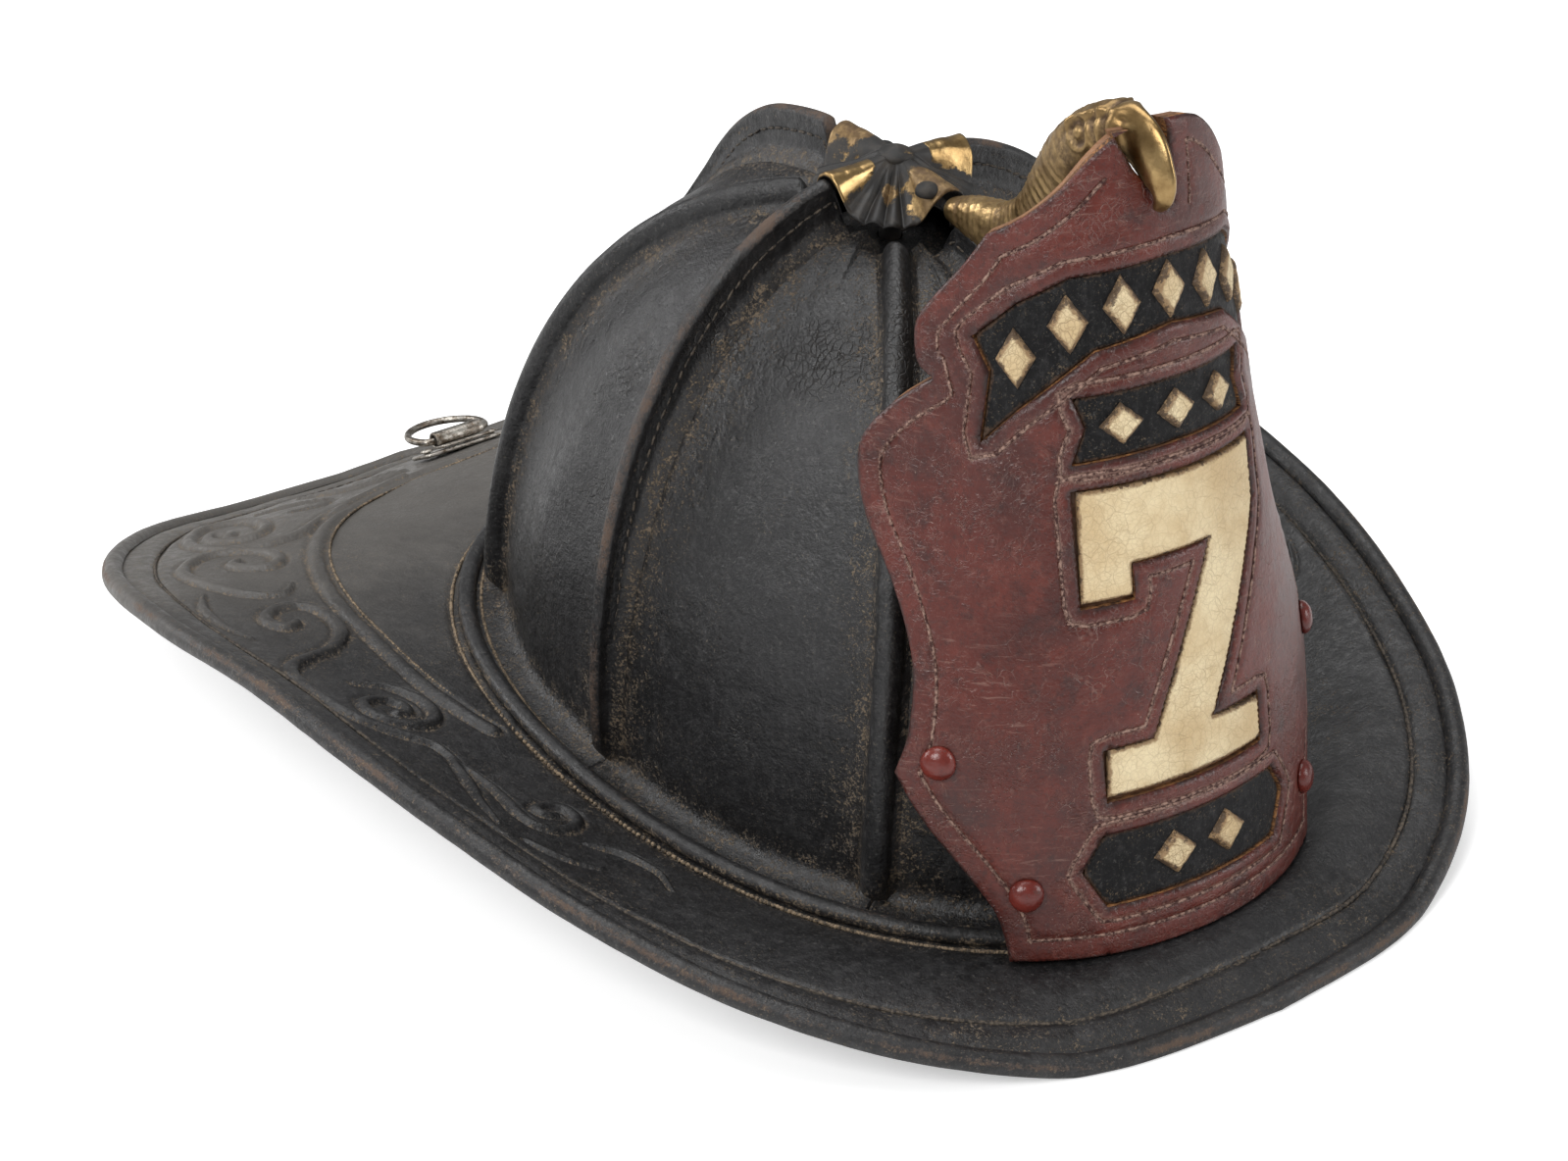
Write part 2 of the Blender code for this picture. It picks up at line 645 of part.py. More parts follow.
def combs(leather):
    """Four tall stitched combs over the front, sides and back, and four round ones between them."""
    turn = 2 * math.pi / COMB_COUNT
    names = ("front", "front_left", "left", "rear_left", "rear", "rear_right", "right", "front_right")
    for k, name in enumerate(names):
        main = k % 2 == 0
        top = MAIN_COMB_TOP_SHARE if main else MINOR_COMB_TOP_SHARE
        stations = [s for s in STATION_SHARES[1:] if s < top - 0.02]
        stations.append(top)
        rings = []
        for share in stations:
            if main:
                full = FRONT_FIN_HEIGHT if name == "front" else FIN_HEIGHT
                growth = math.sin(math.pi / 2 * share / top) ** COMB_GROWTH_EXPONENT
                if name == "rear":
                    rise = (share - REAR_FIN_SHARES[0]) / (REAR_FIN_SHARES[1] - REAR_FIN_SHARES[0])
                    rise = max(0.0, min(1.0, rise))
                    growth = rise * rise * (3 - 2 * rise)
                height = FIN_FOOT_HEIGHT + (full - FIN_FOOT_HEIGHT) * growth
                rings.append(comb_section(k * turn, share, height, FIN_THICKNESS / 2))
            else:
                height = BEAD_COMB_FOOT_HEIGHT + (BEAD_COMB_HEIGHT - BEAD_COMB_FOOT_HEIGHT) * share / top
                rings.append(comb_section(k * turn, share, height, 0.0))
        loft(f"comb_{name}", rings, leather)


def welt(leather):
    """Raised leather bead that covers the seam between the crown and the brim."""
    rings = []
    for i in range(BRIM_TURNS):
        angle = 2 * math.pi * i / BRIM_TURNS
        point = brim_top(angle, welt_share(angle))
        outward, upward = brim_frame(angle)[1:]
        centre = point + upward * (WELT_RADIUS + SEAT_GAP)
        section = []
        for j in range(RING_SIDES):
            t = 2 * math.pi * (j + 0.5) / RING_SIDES
            section.append(centre + (outward * math.cos(t) + upward * math.sin(t)) * WELT_RADIUS)
        rings.append(section)
    loft("crown_welt", rings, leather, closed=True)


def mirrored(half):
    """Whole outline from its right half, listed from the centre line round to the centre line."""
    left = [(-x, y) for x, y in reversed(half) if x > 0]
    return list(half) + left


def shield_outline():
    half = []
    for stretch in SHIELD_STRETCH_SHARES:
        steps = 2 * (len(stretch) - 1)
        for i in range(steps):
            x, y = spline(stretch, i / steps)
            half.append((x * SHIELD_HALF_WIDTH, y * SHIELD_HEIGHT))
    half += sized(SHIELD_STRETCH_SHARES[-1][-1:])
    left = [(-x, y) for x, y in reversed(half) if x > 0]
    return half + left[:-1] + sized(NOTCH_SHARES)


def sized(shares):
    return [(x * SHIELD_HALF_WIDTH, y * SHIELD_HEIGHT) for x, y in shares]


def offset_loop(loop, distance):
    """Loop moved inward by a distance, corner by corner."""
    area = sum(a[0] * b[1] - b[0] * a[1] for a, b in zip(loop, loop[1:] + loop[:1]))
    sign = 1 if area > 0 else -1
    moved = []
    for i, point in enumerate(loop):
        here = Vector(point)
        before = (here - Vector(loop[i - 1])).normalized()
        after = (Vector(loop[(i + 1) % len(loop)]) - here).normalized()
        normal = Vector((-(before.y + after.y), before.x + after.x)).normalized() * sign
        shrink = max(math.sqrt((1 + before.dot(after)) / 2), 0.5)
        moved.append(tuple(here + normal * distance / shrink))
    return moved


def circle(x, y, radius, sides=8):
    return [(x + radius * math.cos(2 * math.pi * i / sides), y + radius * math.sin(2 * math.pi * i / sides))
            for i in range(sides)]


def windows():
    return {
        "top": mirrored(sized(TOP_WINDOW_SHARES)),
        "middle": mirrored(sized(MIDDLE_WINDOW_SHARES)),
        "lower": mirrored(sized(LOWER_WINDOW_SHARES)),
    }


def rivet_spots():
    spots = []
    for x, y in RIVET_SHARES:
        for side in (-1, 1):
            spots.append((side * x * SHIELD_HALF_WIDTH, y * SHIELD_HEIGHT))
    return spots


def shield_parts(red, black, cream, tan, rivet_paint):
    """Front leaf with its windows, backing, panels behind the windows, inlays and rivets."""
    outline = shield_outline()
    cuts = windows()
    numeral = sized(NUMERAL_SHARES)
    hole = RIVET_SHANK_RADIUS + SEAT_GAP
    holes = [circle(x, y, hole) for x, y in rivet_spots()]
    openings = [*cuts.values(), numeral]
    bent_sheet("shield_leaf", [outline, *openings, *holes], 0.0, -SHIELD_LEAF, red)
    back = -SHIELD_LEAF - SEAT_GAP
    bent_sheet("shield_backing", [outline, *openings, *holes], back, back - SHIELD_BACKING, tan, openings)
    floor = back + SEAT_GAP
    for name, loop in cuts.items():
        bent_sheet(f"shield_panel_{name}", [offset_loop(loop, SEAT_GAP)], floor + PANEL_LEAF, floor, black)
    bent_sheet("shield_numeral", [offset_loop(numeral, SEAT_GAP)], INLAY_PROUD, floor, cream)
    lozenges(cuts, floor + PANEL_LEAF + SEAT_GAP, cream)
    for i, (x, y) in enumerate(rivet_spots()):
        shield_rivet(f"shield_rivet_{i + 1}", x, y, rivet_paint)


def lozenges(cuts, floor, cream):
    """Rows of plain raised lozenges on the dark panels."""
    for row, count, pitch_share, half_share in LOZENGE_ROWS:
        pitch = pitch_share * SHIELD_HALF_WIDTH
        half = half_share * SHIELD_HEIGHT
        loop = cuts[row]
        for i in range(count):
            x = (i - (count - 1) / 2) * pitch
            y = window_middle(loop, x)
            wide = pitch * LOZENGE_WIDTH_SHARE
            points = [(x - wide, y), (x, y - half), (x + wide, y), (x, y + half)]
            bent_sheet(f"shield_lozenge_{row}_{i + 1}", [points], INLAY_PROUD, floor, cream)


def window_middle(loop, x):
    """Middle height of a window at a distance from the centre line."""
    crossings = []
    for a, b in zip(loop, loop[1:] + loop[:1]):
        if min(a[0], b[0]) <= x < max(a[0], b[0]):
            share = (x - a[0]) / (b[0] - a[0])
            crossings.append(a[1] + (b[1] - a[1]) * share)
    return (min(crossings) + max(crossings)) / 2


def shield_rivet(name, x, y, finish):
    depth = SHIELD_LEAF + SEAT_GAP + SHIELD_BACKING + SEAT_GAP
    dome = [(RIVET_HEAD_RADIUS * math.cos(t), SEAT_GAP + RIVET_HEAD_HEIGHT * math.sin(t))
            for t in (0.0, 0.5, 1.0, 1.35)]
    floor = -depth - RIVET_BURR
    profile = [(0.0, floor), (RIVET_BURR_RADIUS, floor), (RIVET_BURR_RADIUS, -depth),
               (RIVET_SHANK_RADIUS, -depth), (RIVET_SHANK_RADIUS, SEAT_GAP), *dome,
               (0.0, SEAT_GAP + RIVET_HEAD_HEIGHT)]
    base = shield_point(x, y, 0.0)
    normal = (shield_point(x, y, RIVET_HEAD_RADIUS) - base).normalized()
    place = Matrix.Translation(base) @ normal.to_track_quat("Z", "Y").to_matrix().to_4x4()
    turned(name, profile, place, finish, sides=10)


def leaf_height():
    """Height above the crown's top at which the brass leaf rests on the tall combs."""
    return FIN_HEIGHT - LEAF_SEAT_DROP


def eye_ceiling():
    """Height of the crown's inner face over the rim of the eye cap."""
    share = math.acos((CAP_RADIUS / CROWN_HALF_WIDTH) ** (DOME_EXPONENT / 2)) * 2 / math.pi
    inner = dome_point(math.pi / 2, share, -CROWN_THICKNESS) - crown_place(0, 0, 0)
    return inner.dot(crown_direction(0, 0, 1))


def crest_leaf(brass):
    """Brass leaf over the crown's centre: four gabled leaves on the tall combs, four fluted fans between."""
    top = []
    bottom = []
    for ring in range(LEAF_RINGS + 1):
        share = ring / LEAF_RINGS
        top_row = []
        bottom_row = []
        for i in range(LEAF_TURNS):
            angle = 2 * math.pi * i / LEAF_TURNS
            gable = max(0.0, math.cos(4 * angle))
            fan = max(0.0, -math.cos(4 * angle))
            inner = STUD_RADIUS + SEAT_GAP
            reach = LEAF_RADIUS * (1 - FAN_SHORTENING_SHARE * fan)
            radius = inner + (reach - inner) * share
            drop = LEAF_DROOP * fan * share ** FAN_DROOP_EXPONENT
            flute = LEAF_FLUTE * fan * math.cos(FLUTES * angle) * share
            height = leaf_height() + LEAF_RIDGE * gable + flute - drop
            x = -math.sin(angle) * radius
            y = -math.cos(angle) * radius
            top_row.append(crown_place(x, y, CROWN_HEIGHT + height + LEAF_THICKNESS))
            bottom_row.append(crown_place(x, y, CROWN_HEIGHT + height))
        top.append(top_row)
        bottom.append(bottom_row)
    shell("crest_leaf", top, bottom, brass, wrapped=True)


def eagle_holder(brass):
    """Cast neck and head of an eagle, whose beak hooks over the shield at the notch in its top."""
    start = crown_place(0, -LEAF_RADIUS - LEAF_THICKNESS, CROWN_HEIGHT + leaf_height())
    turn = math.radians(EAGLE_TURN_DEG)
    forward = Vector((-math.sin(turn), -math.cos(turn), 0))
    across = Vector((math.cos(turn), -math.sin(turn), 0))
    tip_depth = EAGLE_SECTION_SHARES[-1][2] * HEAD_DEPTH
    tip = shield_point(0, EAGLE_TIP_SHARE * SHIELD_HEIGHT, SEAT_GAP + tip_depth / 2)
    reach_scale = (start.y - tip.y) / math.cos(turn)
    rise_scale = shield_point(0, SHIELD_HEIGHT, 0.0).z - start.z
    stray = tip.z - start.z - EAGLE_SECTION_SHARES[-1][1] * rise_scale
    stations = 2 * (len(EAGLE_SECTION_SHARES) - 1)
    centres = []
    sizes = []
    for i in range(stations + 1):
        reach, rise, depth, width = spline(EAGLE_SECTION_SHARES, i / stations)
        height = rise * rise_scale + stray * max(reach, 0.0) ** 2
        centres.append(start + forward * reach * reach_scale + Vector((0, 0, height)))
        sizes.append((depth * HEAD_DEPTH, width * HEAD_WIDTH))
    rings = []
    for i, (centre, (depth, width)) in enumerate(zip(centres, sizes)):
        way = (centres[min(i + 1, stations)] - centres[max(i - 1, 0)]).normalized()
        upward = across.cross(way).normalized()
        ring = []
        for j in range(12):
            t = 2 * math.pi * j / 12
            ring.append(centre + across * power(math.cos(t), EAGLE_EXPONENT) * width / 2
                        + upward * power(math.sin(t), EAGLE_EXPONENT) * depth / 2)
        rings.append(ring)
    loft("eagle_holder", rings, brass)


def crown_fastening(leather, steel):
    """Stud that holds the leaf, the washer at the crown's eye and the nut inside."""
    up = crown_direction(0, 0, 1).to_track_quat("Z", "Y").to_matrix().to_4x4()
    cap_floor = eye_ceiling() - SEAT_GAP - CAP_THICKNESS
    place = Matrix.Translation(crown_place(0, 0, cap_floor)) @ up
    hole = STUD_RADIUS + SEAT_GAP
    washer("crown_eye_cap", hole, CAP_RADIUS, CAP_THICKNESS, place, leather, 16)
    nut_top = cap_floor - SEAT_GAP
    place = Matrix.Translation(crown_place(0, 0, nut_top - NUT_HEIGHT)) @ up
    washer("holder_nut", hole, NUT_RADIUS, NUT_HEIGHT, place, steel, 6)
    foot = nut_top - NUT_HEIGHT - STUD_RADIUS
    seat = CROWN_HEIGHT + leaf_height() + LEAF_THICKNESS + LEAF_RIDGE + SEAT_GAP
    length = seat - foot
    profile = [(0.0, 0.0), (STUD_RADIUS, 0.0), (STUD_RADIUS, length), (STUD_HEAD_RADIUS, length),
               (STUD_HEAD_RADIUS * SHOULDER_SHARE, length + STUD_HEAD_HEIGHT * SHOULDER_SHARE),
               (0.0, length + STUD_HEAD_HEIGHT)]
    turned("holder_stud", profile, Matrix.Translation(crown_place(0, 0, foot)) @ up, steel)


def washer(name, bore, radius, height, place, finish, sides):
    bore_sides = max(sides, 12)
    count = bore_sides
    angles = [2 * math.pi * i / count for i in range(count)]
    step = 2 * math.pi / sides
    rims = [radius * math.cos(step / 2) / math.cos((a % step) - step / 2) for a in angles]
    inner = [[(bore * math.cos(a), bore * math.sin(a), z) for a in angles] for z in (0.0, height)]
    outer = [[(r * math.cos(a), r * math.sin(a), z) for a, r in zip(angles, rims)] for z in (0.0, height)]
    made = shell(name, outer, inner, finish, wrapped=True)
    made.matrix_world = place
    return made


@functools.cache
def hanger_place():
    """Frame on the rear brim under the hanger's bar: X across, Y down the slope, Z off the leather."""
    run = brim_top(math.pi, 1.0) - brim_top(math.pi, 0.0)
    share = 1 - PLATE_SETBACK / run.length
    base = brim_top(math.pi, share)
    ahead = brim_top(math.pi, share + 0.1)
    behind = brim_top(math.pi, share - 0.1)
    down = (ahead - behind).normalized()
    up = Vector((1, 0, 0)).cross(down).normalized()
    axes = Matrix((Vector((1, 0, 0)), down, up)).transposed().to_4x4()
    return Matrix.Translation(base) @ axes


def hanger_parts(steel):
    """Plate, folded clip, ring and the two rivets that hold the plate to the brim."""
    place = hanger_place()
    plate = [(-PLATE_LENGTH / 2, -PLATE_WIDTH / 2), (PLATE_LENGTH / 2, -PLATE_WIDTH / 2),
             (PLATE_LENGTH / 2, PLATE_WIDTH / 2), (-PLATE_LENGTH / 2, PLATE_WIDTH / 2)]
    spot = (PLATE_LENGTH + CLIP_LENGTH) / 4
    holes = [circle(side * spot, 0.0, HANGER_RIVET_RADIUS / 2 + SEAT_GAP) for side in (-1, 1)]
    floor = SEAT_GAP + brim_bow()
    flat_plate("hanger_plate", [plate, *holes], floor, PLATE_THICKNESS, place, steel)
    outer = CLIP_WALL + RUNNING_GAP + RING_WIRE_RADIUS
    centre = floor + PLATE_THICKNESS + SEAT_GAP + outer
    tongue = math.asin((outer - CLIP_WALL) / outer)
    arc = [-math.pi / 2 + (2 * math.pi - (math.pi / 2 - tongue)) * i / 12 for i in range(13)]
    clip = [(-PLATE_WIDTH / 2, centre - outer)]
    clip += [(outer * math.cos(t), centre + outer * math.sin(t)) for t in arc]
    clip.append((-PLATE_WIDTH / 2, centre - outer + CLIP_WALL))
    bore = circle(0.0, centre, outer - CLIP_WALL, 12)
    side_cut("hanger_clip", [clip, bore], CLIP_LENGTH, place, steel)
    for name, side in (("left", -1), ("right", 1)):
        shank = HANGER_RIVET_RADIUS / 2
        top = floor + PLATE_THICKNESS + SEAT_GAP
        profile = [(0.0, floor), (shank, floor), (shank, top), (HANGER_RIVET_RADIUS, top),
                   (HANGER_RIVET_RADIUS * SHOULDER_SHARE, top + HANGER_RIVET_HEIGHT * SHOULDER_SHARE),
                   (0.0, top + HANGER_RIVET_HEIGHT)]
        turned(f"hanger_rivet_{name}", profile, place @ Matrix.Translation((side * spot, 0, 0)), steel, 10)
    hanger_ring(place @ Matrix.Translation((0, 0, centre)), steel)


def brim_bow():
    """Rise of the brim's facets above the plate's seat at the ends of the plate."""
    return BRIM_REAR_CROWNING * PLATE_BOW_SHARE


def flat_plate(name, loops, floor, thickness, place, finish):
    bm = extruded(loops, floor, floor + thickness)
    made = make_object(name, bm, finish, smooth=False)
    made.matrix_world = place
    return made


def side_cut(name, loops, length, place, finish):
    """Profile in the local YZ plane, extruded evenly both ways along X."""
    bm = extruded(loops, -length / 2, length / 2)
    turn = Matrix(((0, 0, 1), (1, 0, 0), (0, 1, 0))).to_4x4()
    bmesh.ops.transform(bm, matrix=turn, verts=bm.verts)
    made = make_object(name, bm, finish)
    made.matrix_world = place
    return made


def extruded(loops, low, high):
    flat = bmesh.new()
    for loop in loops:
        verts = [flat.verts.new((x, y, 0)) for x, y in loop]
        for i, vert in enumerate(verts):
            flat.edges.new((vert, verts[(i + 1) % len(verts)]))
    bmesh.ops.triangle_fill(flat, edges=flat.edges, use_beauty=True)
    flat.verts.index_update()
    bm = bmesh.new()
    made = {}
    for level in (low, high):
        for vert in flat.verts:
            made[vert.index, level] = bm.verts.new((vert.co.x, vert.co.y, level))
    for face in flat.faces:
        for level in (low, high):
            bm.faces.new([made[vert.index, level] for vert in face.verts])
    for edge in flat.edges:
        if edge.is_boundary:
            a, b = (vert.index for vert in edge.verts)
            bm.faces.new((made[a, low], made[b, low], made[b, high], made[a, high]))
    flat.free()
    return bm


def hanger_ring(place, steel):
    """D-shaped wire ring with its origin on the hinge line of its straight bar."""
    setback = math.sqrt(RING_RADIUS ** 2 - RING_BAR_HALF ** 2)
    open_turn = math.atan2(RING_BAR_HALF, -setback)
    turns = 22
    path = []
    for i in range(turns + 1):
        t = -open_turn + 2 * open_turn * i / turns
        path.append(Vector((RING_RADIUS * math.sin(t), setback + RING_RADIUS * math.cos(t), 0)))
    rings = []
    count = len(path)
    for i, point in enumerate(path):
        way = (path[(i + 1) % count] - path[i - 1]).normalized()
        side = way.cross(Vector((0, 0, 1)))
        before = (point - path[i - 1]).normalized()
        after = (path[(i + 1) % count] - point).normalized()
        stretch = 1 / max(math.cos(before.angle(after) / 2), 0.5)
        ring = []
        for j in range(RING_SIDES):
            t = 2 * math.pi * j / RING_SIDES
            ring.append(point + side * math.cos(t) * RING_WIRE_RADIUS * stretch
                        + Vector((0, 0, 1)) * math.sin(t) * RING_WIRE_RADIUS)
        rings.append(ring)
    made = loft("hanger_ring", rings, steel, closed=True)
    down = place.to_3x3().col[1]
    slope = math.atan2(-down.z, down.y)
    lift = slope - math.radians(RING_SLOPE_DEG)
    made.matrix_world = place @ Matrix.Rotation(lift, 4, "X")
    return made


def band_reach(angle):
    """Half width and half length of the sweatband towards an angle from the front."""
    if math.cos(angle) > 0:
        half_length = CROWN_FRONT_HALF - SWEATBAND_FRONT_GAP
    else:
        half_length = CROWN_REAR_HALF - SWEATBAND_REAR_GAP
    return CROWN_HALF_WIDTH - SWEATBAND_SIDE_GAP, half_length


def band_point(angle, proud, height):
    """Point of the sweatband: oval in plan, square to the crown's base."""
    half_width, half_length = band_reach(angle)
    x = -power(math.sin(angle), 2 / PLAN_EXPONENT) * (half_width + proud)
    y = -power(math.cos(angle), 2 / PLAN_EXPONENT) * (half_length + proud)
    return crown_place(x, y, height)


def liner_fold(angle):
    """How deep the liner is folded in between its lobes, from 0 to 1."""
    return 1 - abs(math.sin(COMB_COUNT * angle / 2)) ** LOBE_EXPONENT


def liner_limit(angle):
    """Turn up the liner's curve at which its edge lies."""
    eye = LINER_EYE_RADIUS + LINER_FOLD * LOBE_NOTCH_SHARE * liner_fold(angle)
    return math.acos(eye / band_reach(angle)[1])


def liner_point(angle, turn, depth):
    """Point of the liner: direction in plan, turn up its curve and distance outside its outer skin."""
    foot = SWEATBAND_HEIGHT + SEAT_GAP
    spread = math.cos(turn)
    reach = depth * spread - LINER_FOLD * liner_fold(angle) * math.sin(turn)
    half_width, half_length = band_reach(angle)
    x = -power(math.sin(angle), 2 / PLAN_EXPONENT) * (half_width + reach) * spread
    y = -power(math.cos(angle), 2 / PLAN_EXPONENT) * (half_length + reach) * spread
    return crown_place(x, y, foot + (LINER_HEIGHT - foot + depth) * math.sin(turn))


def lining(band_leather, felt, lace):
    """Sweatband, the felt that spaces it from the crown, the lobed liner and the lace that draws it in."""
    angles = [2 * math.pi * i / LINING_TURNS for i in range(LINING_TURNS)]
    heights = (SEAT_GAP, SWEATBAND_HEIGHT / 2, SWEATBAND_HEIGHT)
    outer = [[band_point(a, 0.0, h) for a in angles] for h in heights]
    inner = [[band_point(a, -SWEATBAND_THICKNESS, h) for a in angles] for h in heights]
    shell("sweatband", outer, inner, band_leather, wrapped=True)

    pad_low = SEAT_GAP + CROWN_THICKNESS
    pad_heights = (pad_low, pad_low + PAD_HEIGHT / 2, pad_low + PAD_HEIGHT)
    pad_outer = []
    for height in pad_heights:
        share = math.asin((height / CROWN_HEIGHT) ** (DOME_EXPONENT / 2)) * 2 / math.pi
        pad_outer.append([dome_point(a, share, -CROWN_THICKNESS - 3 * SEAT_GAP) for a in angles])
    pad_inner = [[band_point(a, SEAT_GAP, h) for a in angles] for h in pad_heights]
    shell("felt_pad", pad_outer, pad_inner, felt, wrapped=True)

    rows = 4
    outer = [[liner_point(a, liner_limit(a) * i / rows, 0.0) for a in angles] for i in range(rows + 1)]
    inner = [[liner_point(a, liner_limit(a) * i / rows, -LINER_THICKNESS) for a in angles]
             for i in range(rows + 1)]
    shell("crown_liner", outer, inner, felt, wrapped=True)
    rings = []
    for a in angles:
        rim = liner_point(a, liner_limit(a), 0.0)
        lift = crown_direction(0, 0, 1)
        inward = -crown_direction(-math.sin(a), -math.cos(a), 0)
        centre = rim + lift * (LACE_RADIUS + SEAT_GAP)
        rings.append([centre + (inward * math.cos(t) + lift * math.sin(t)) * LACE_RADIUS
                      for t in [2 * math.pi * j / LACE_SIDES for j in range(LACE_SIDES)]])
    loft("liner_lace", rings, lace, closed=True)


def build():
    for old in list(bpy.data.objects):
        bpy.data.objects.remove(old)
    black_leather = material("black_leather", (0.018, 0.017, 0.017), 0.45)
    red_leather = material("red_leather", (0.16, 0.028, 0.022), 0.5)
    cream_leather = material("cream_leather", (0.72, 0.58, 0.36), 0.6)
    tan_leather = material("tan_leather", (0.35, 0.17, 0.07), 0.7)
    rivet_paint = material("red_paint", (0.14, 0.022, 0.02), 0.35)
    brass = material("aged_brass", (0.52, 0.36, 0.13), 0.38, 1.0)
    steel = material("dull_nickel", (0.42, 0.41, 0.38), 0.4, 1.0)
    felt = material("grey_felt", (0.20, 0.18, 0.15), 0.95)
    lace = material("cotton_lace", (0.50, 0.44, 0.33), 0.9)
    brim_parts(black_leather, steel)
    crown_panels(black_leather)
    combs(black_leather)
    welt(black_leather)
    shield_parts(red_leather, black_leather, cream_leather, tan_leather, rivet_paint)
    crest_leaf(brass)
    eagle_holder(brass)
    crown_fastening(black_leather, steel)
    hanger_parts(steel)
    lining(tan_leather, felt, lace)


build()
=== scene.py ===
import math

import bpy
import numpy as np
from mathutils import Matrix, Vector
from mathutils.geometry import delaunay_2d_cdt


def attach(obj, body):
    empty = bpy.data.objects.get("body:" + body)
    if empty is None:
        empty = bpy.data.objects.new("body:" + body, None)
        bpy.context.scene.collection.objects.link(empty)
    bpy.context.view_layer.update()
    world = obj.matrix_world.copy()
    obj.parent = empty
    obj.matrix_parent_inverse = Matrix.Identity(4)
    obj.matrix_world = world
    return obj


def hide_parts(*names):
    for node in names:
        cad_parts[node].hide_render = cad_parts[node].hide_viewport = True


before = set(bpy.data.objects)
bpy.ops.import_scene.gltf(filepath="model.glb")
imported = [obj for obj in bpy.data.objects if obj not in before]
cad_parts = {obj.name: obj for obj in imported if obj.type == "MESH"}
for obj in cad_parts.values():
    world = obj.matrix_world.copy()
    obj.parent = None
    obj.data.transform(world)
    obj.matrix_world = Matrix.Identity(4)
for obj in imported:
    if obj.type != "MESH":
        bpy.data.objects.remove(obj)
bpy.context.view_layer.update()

# Measures of the part, in metres
MM, GAP = 0.001, 0.0003
BRIM_FRONT, BRIM_REAR, BRIM_HALF, BRIM_Y = 0.1758, 0.2268, 0.1560, -0.0235
BRIM_RISE, ROLL_HEIGHT, REST_SHARE = 0.0524, 0.0019, 0.027
BRIM_THICK, EDGE_THICK, WIRE_R, ROLL_R = 0.0035, 0.0020, 0.0011, 0.0030
CROWN_W, CROWN_F, CROWN_B, CROWN_H = 0.081, 0.116, 0.113, 0.140
CROWN_Y, CROWN_Z, CROWN_THICK, TILT = -0.0325, 0.0235, 0.003, math.radians(7.4)
FLARE, LEDGE, WELT_OUT, WELT_R = 0.006, 0.001, 0.011, 0.0026
DOME_E, PLAN_E = 2.3, 2.15
EYE_R, CAP_R = 0.013, 0.017
COMB_FOOT, COMB_END, FOOT_HEIGHT, FRONT_FIN, FIN = 0.011, 0.42, 0.004, 0.0120, 0.0175
SHIELD_W, SHIELD_H, SHIELD_R = 0.0812, 0.2072, 0.082
SHIELD_Y, SHIELD_Z = -0.1755, 0.012315
LEAN, WING = math.radians(6.8), math.radians(60.0)
LEAF, BACKING, PANEL = 0.0024, 0.0025, 0.0010
CREST_R, CREST_T, CREST_H = 0.0225, 0.0015, 0.0138
BAND_H, BAND_T, LINER_H = 0.034, 0.0018, 0.112
BRIM_EDGE = np.array([
    (0.000, -1.000, 0.00), (0.295, -0.970, 0.00), (0.560, -0.856, 0.18), (0.755, -0.667, 0.39),
    (0.874, -0.444, 0.60), (0.943, -0.222, 0.79), (0.981, 0.000, 0.92), (1.000, 0.190, 1.00),
    (1.000, 0.405, 0.94), (0.918, 0.643, 0.73), (0.698, 0.850, 0.40), (0.370, 0.968, 0.10),
    (0.000, 1.000, 0.00)])
BEND_AT, BEND = (0.0, 0.28, 0.45, 0.62, 0.74, 0.86, 1.0), (1.0, 1.0, 0.78, 0.63, 0.565, 0.48, 0.48)
UP = np.array([0.0, 0.0, 1.0])


# Numbers and curves
def power(v, e):
    return np.sign(v) * np.abs(v) ** e


def length(v):
    return np.linalg.norm(v, axis=-1)


def norm(v):
    return v / np.maximum(np.linalg.norm(v, axis=-1, keepdims=True), 1e-12)


def circle(count):
    return np.linspace(0, 2 * math.pi, count, endpoint=False)


def bell(v, width, centre=0.0, sharp=2):
    """1 at a centre, falling away over a width."""
    return np.exp(-np.abs((v - centre) / width) ** sharp)


def around_to(angle, centre):
    """Turn from a centre, between minus and plus half a turn."""
    return np.angle(np.exp(1j * (angle - centre)))


def clip01(v):
    return np.clip(v, 0, 1)


def smooth(low, high, v):
    t = clip01((np.asarray(v, float) - low) / (high - low))
    return t * t * (3 - 2 * t)


def spline(points, share):
    """Smooth curve through points, at shares of the way along them."""
    pts = np.asarray(points, float)
    spans = len(pts) - 1
    s = np.asarray(share, float) * spans
    i = np.clip(s.astype(int), 0, spans - 1)
    t = (s - i)[..., None]
    p0, p1, p2, p3 = pts[np.maximum(i - 1, 0)], pts[i], pts[i + 1], pts[np.minimum(i + 2, spans)]
    m1, m2 = (p2 - p0) / 2, (p3 - p1) / 2
    return p1 + t * (m1 + t * ((3 * (p2 - p1) - 2 * m1 - m2) + t * (2 * (p1 - p2) + m1 + m2)))


def along(points, step, closed=False):
    """Points at even steps along a line, with the direction at each."""
    pts = np.vstack([points, points[:1]]) if closed else np.asarray(points, float)
    run = np.r_[0, np.cumsum(length(np.diff(pts, axis=0)))]
    count = max(int(round(run[-1] / step)), 2)
    at = (np.arange(count) + 0.5) / count * run[-1]
    here, after, before = (
        np.stack([np.interp(spot, run, column) for column in pts.T], -1)
        for spot in (at, np.minimum(at + step / 2, run[-1]), np.maximum(at - step / 2, 0)))
    return here, norm(after - before)


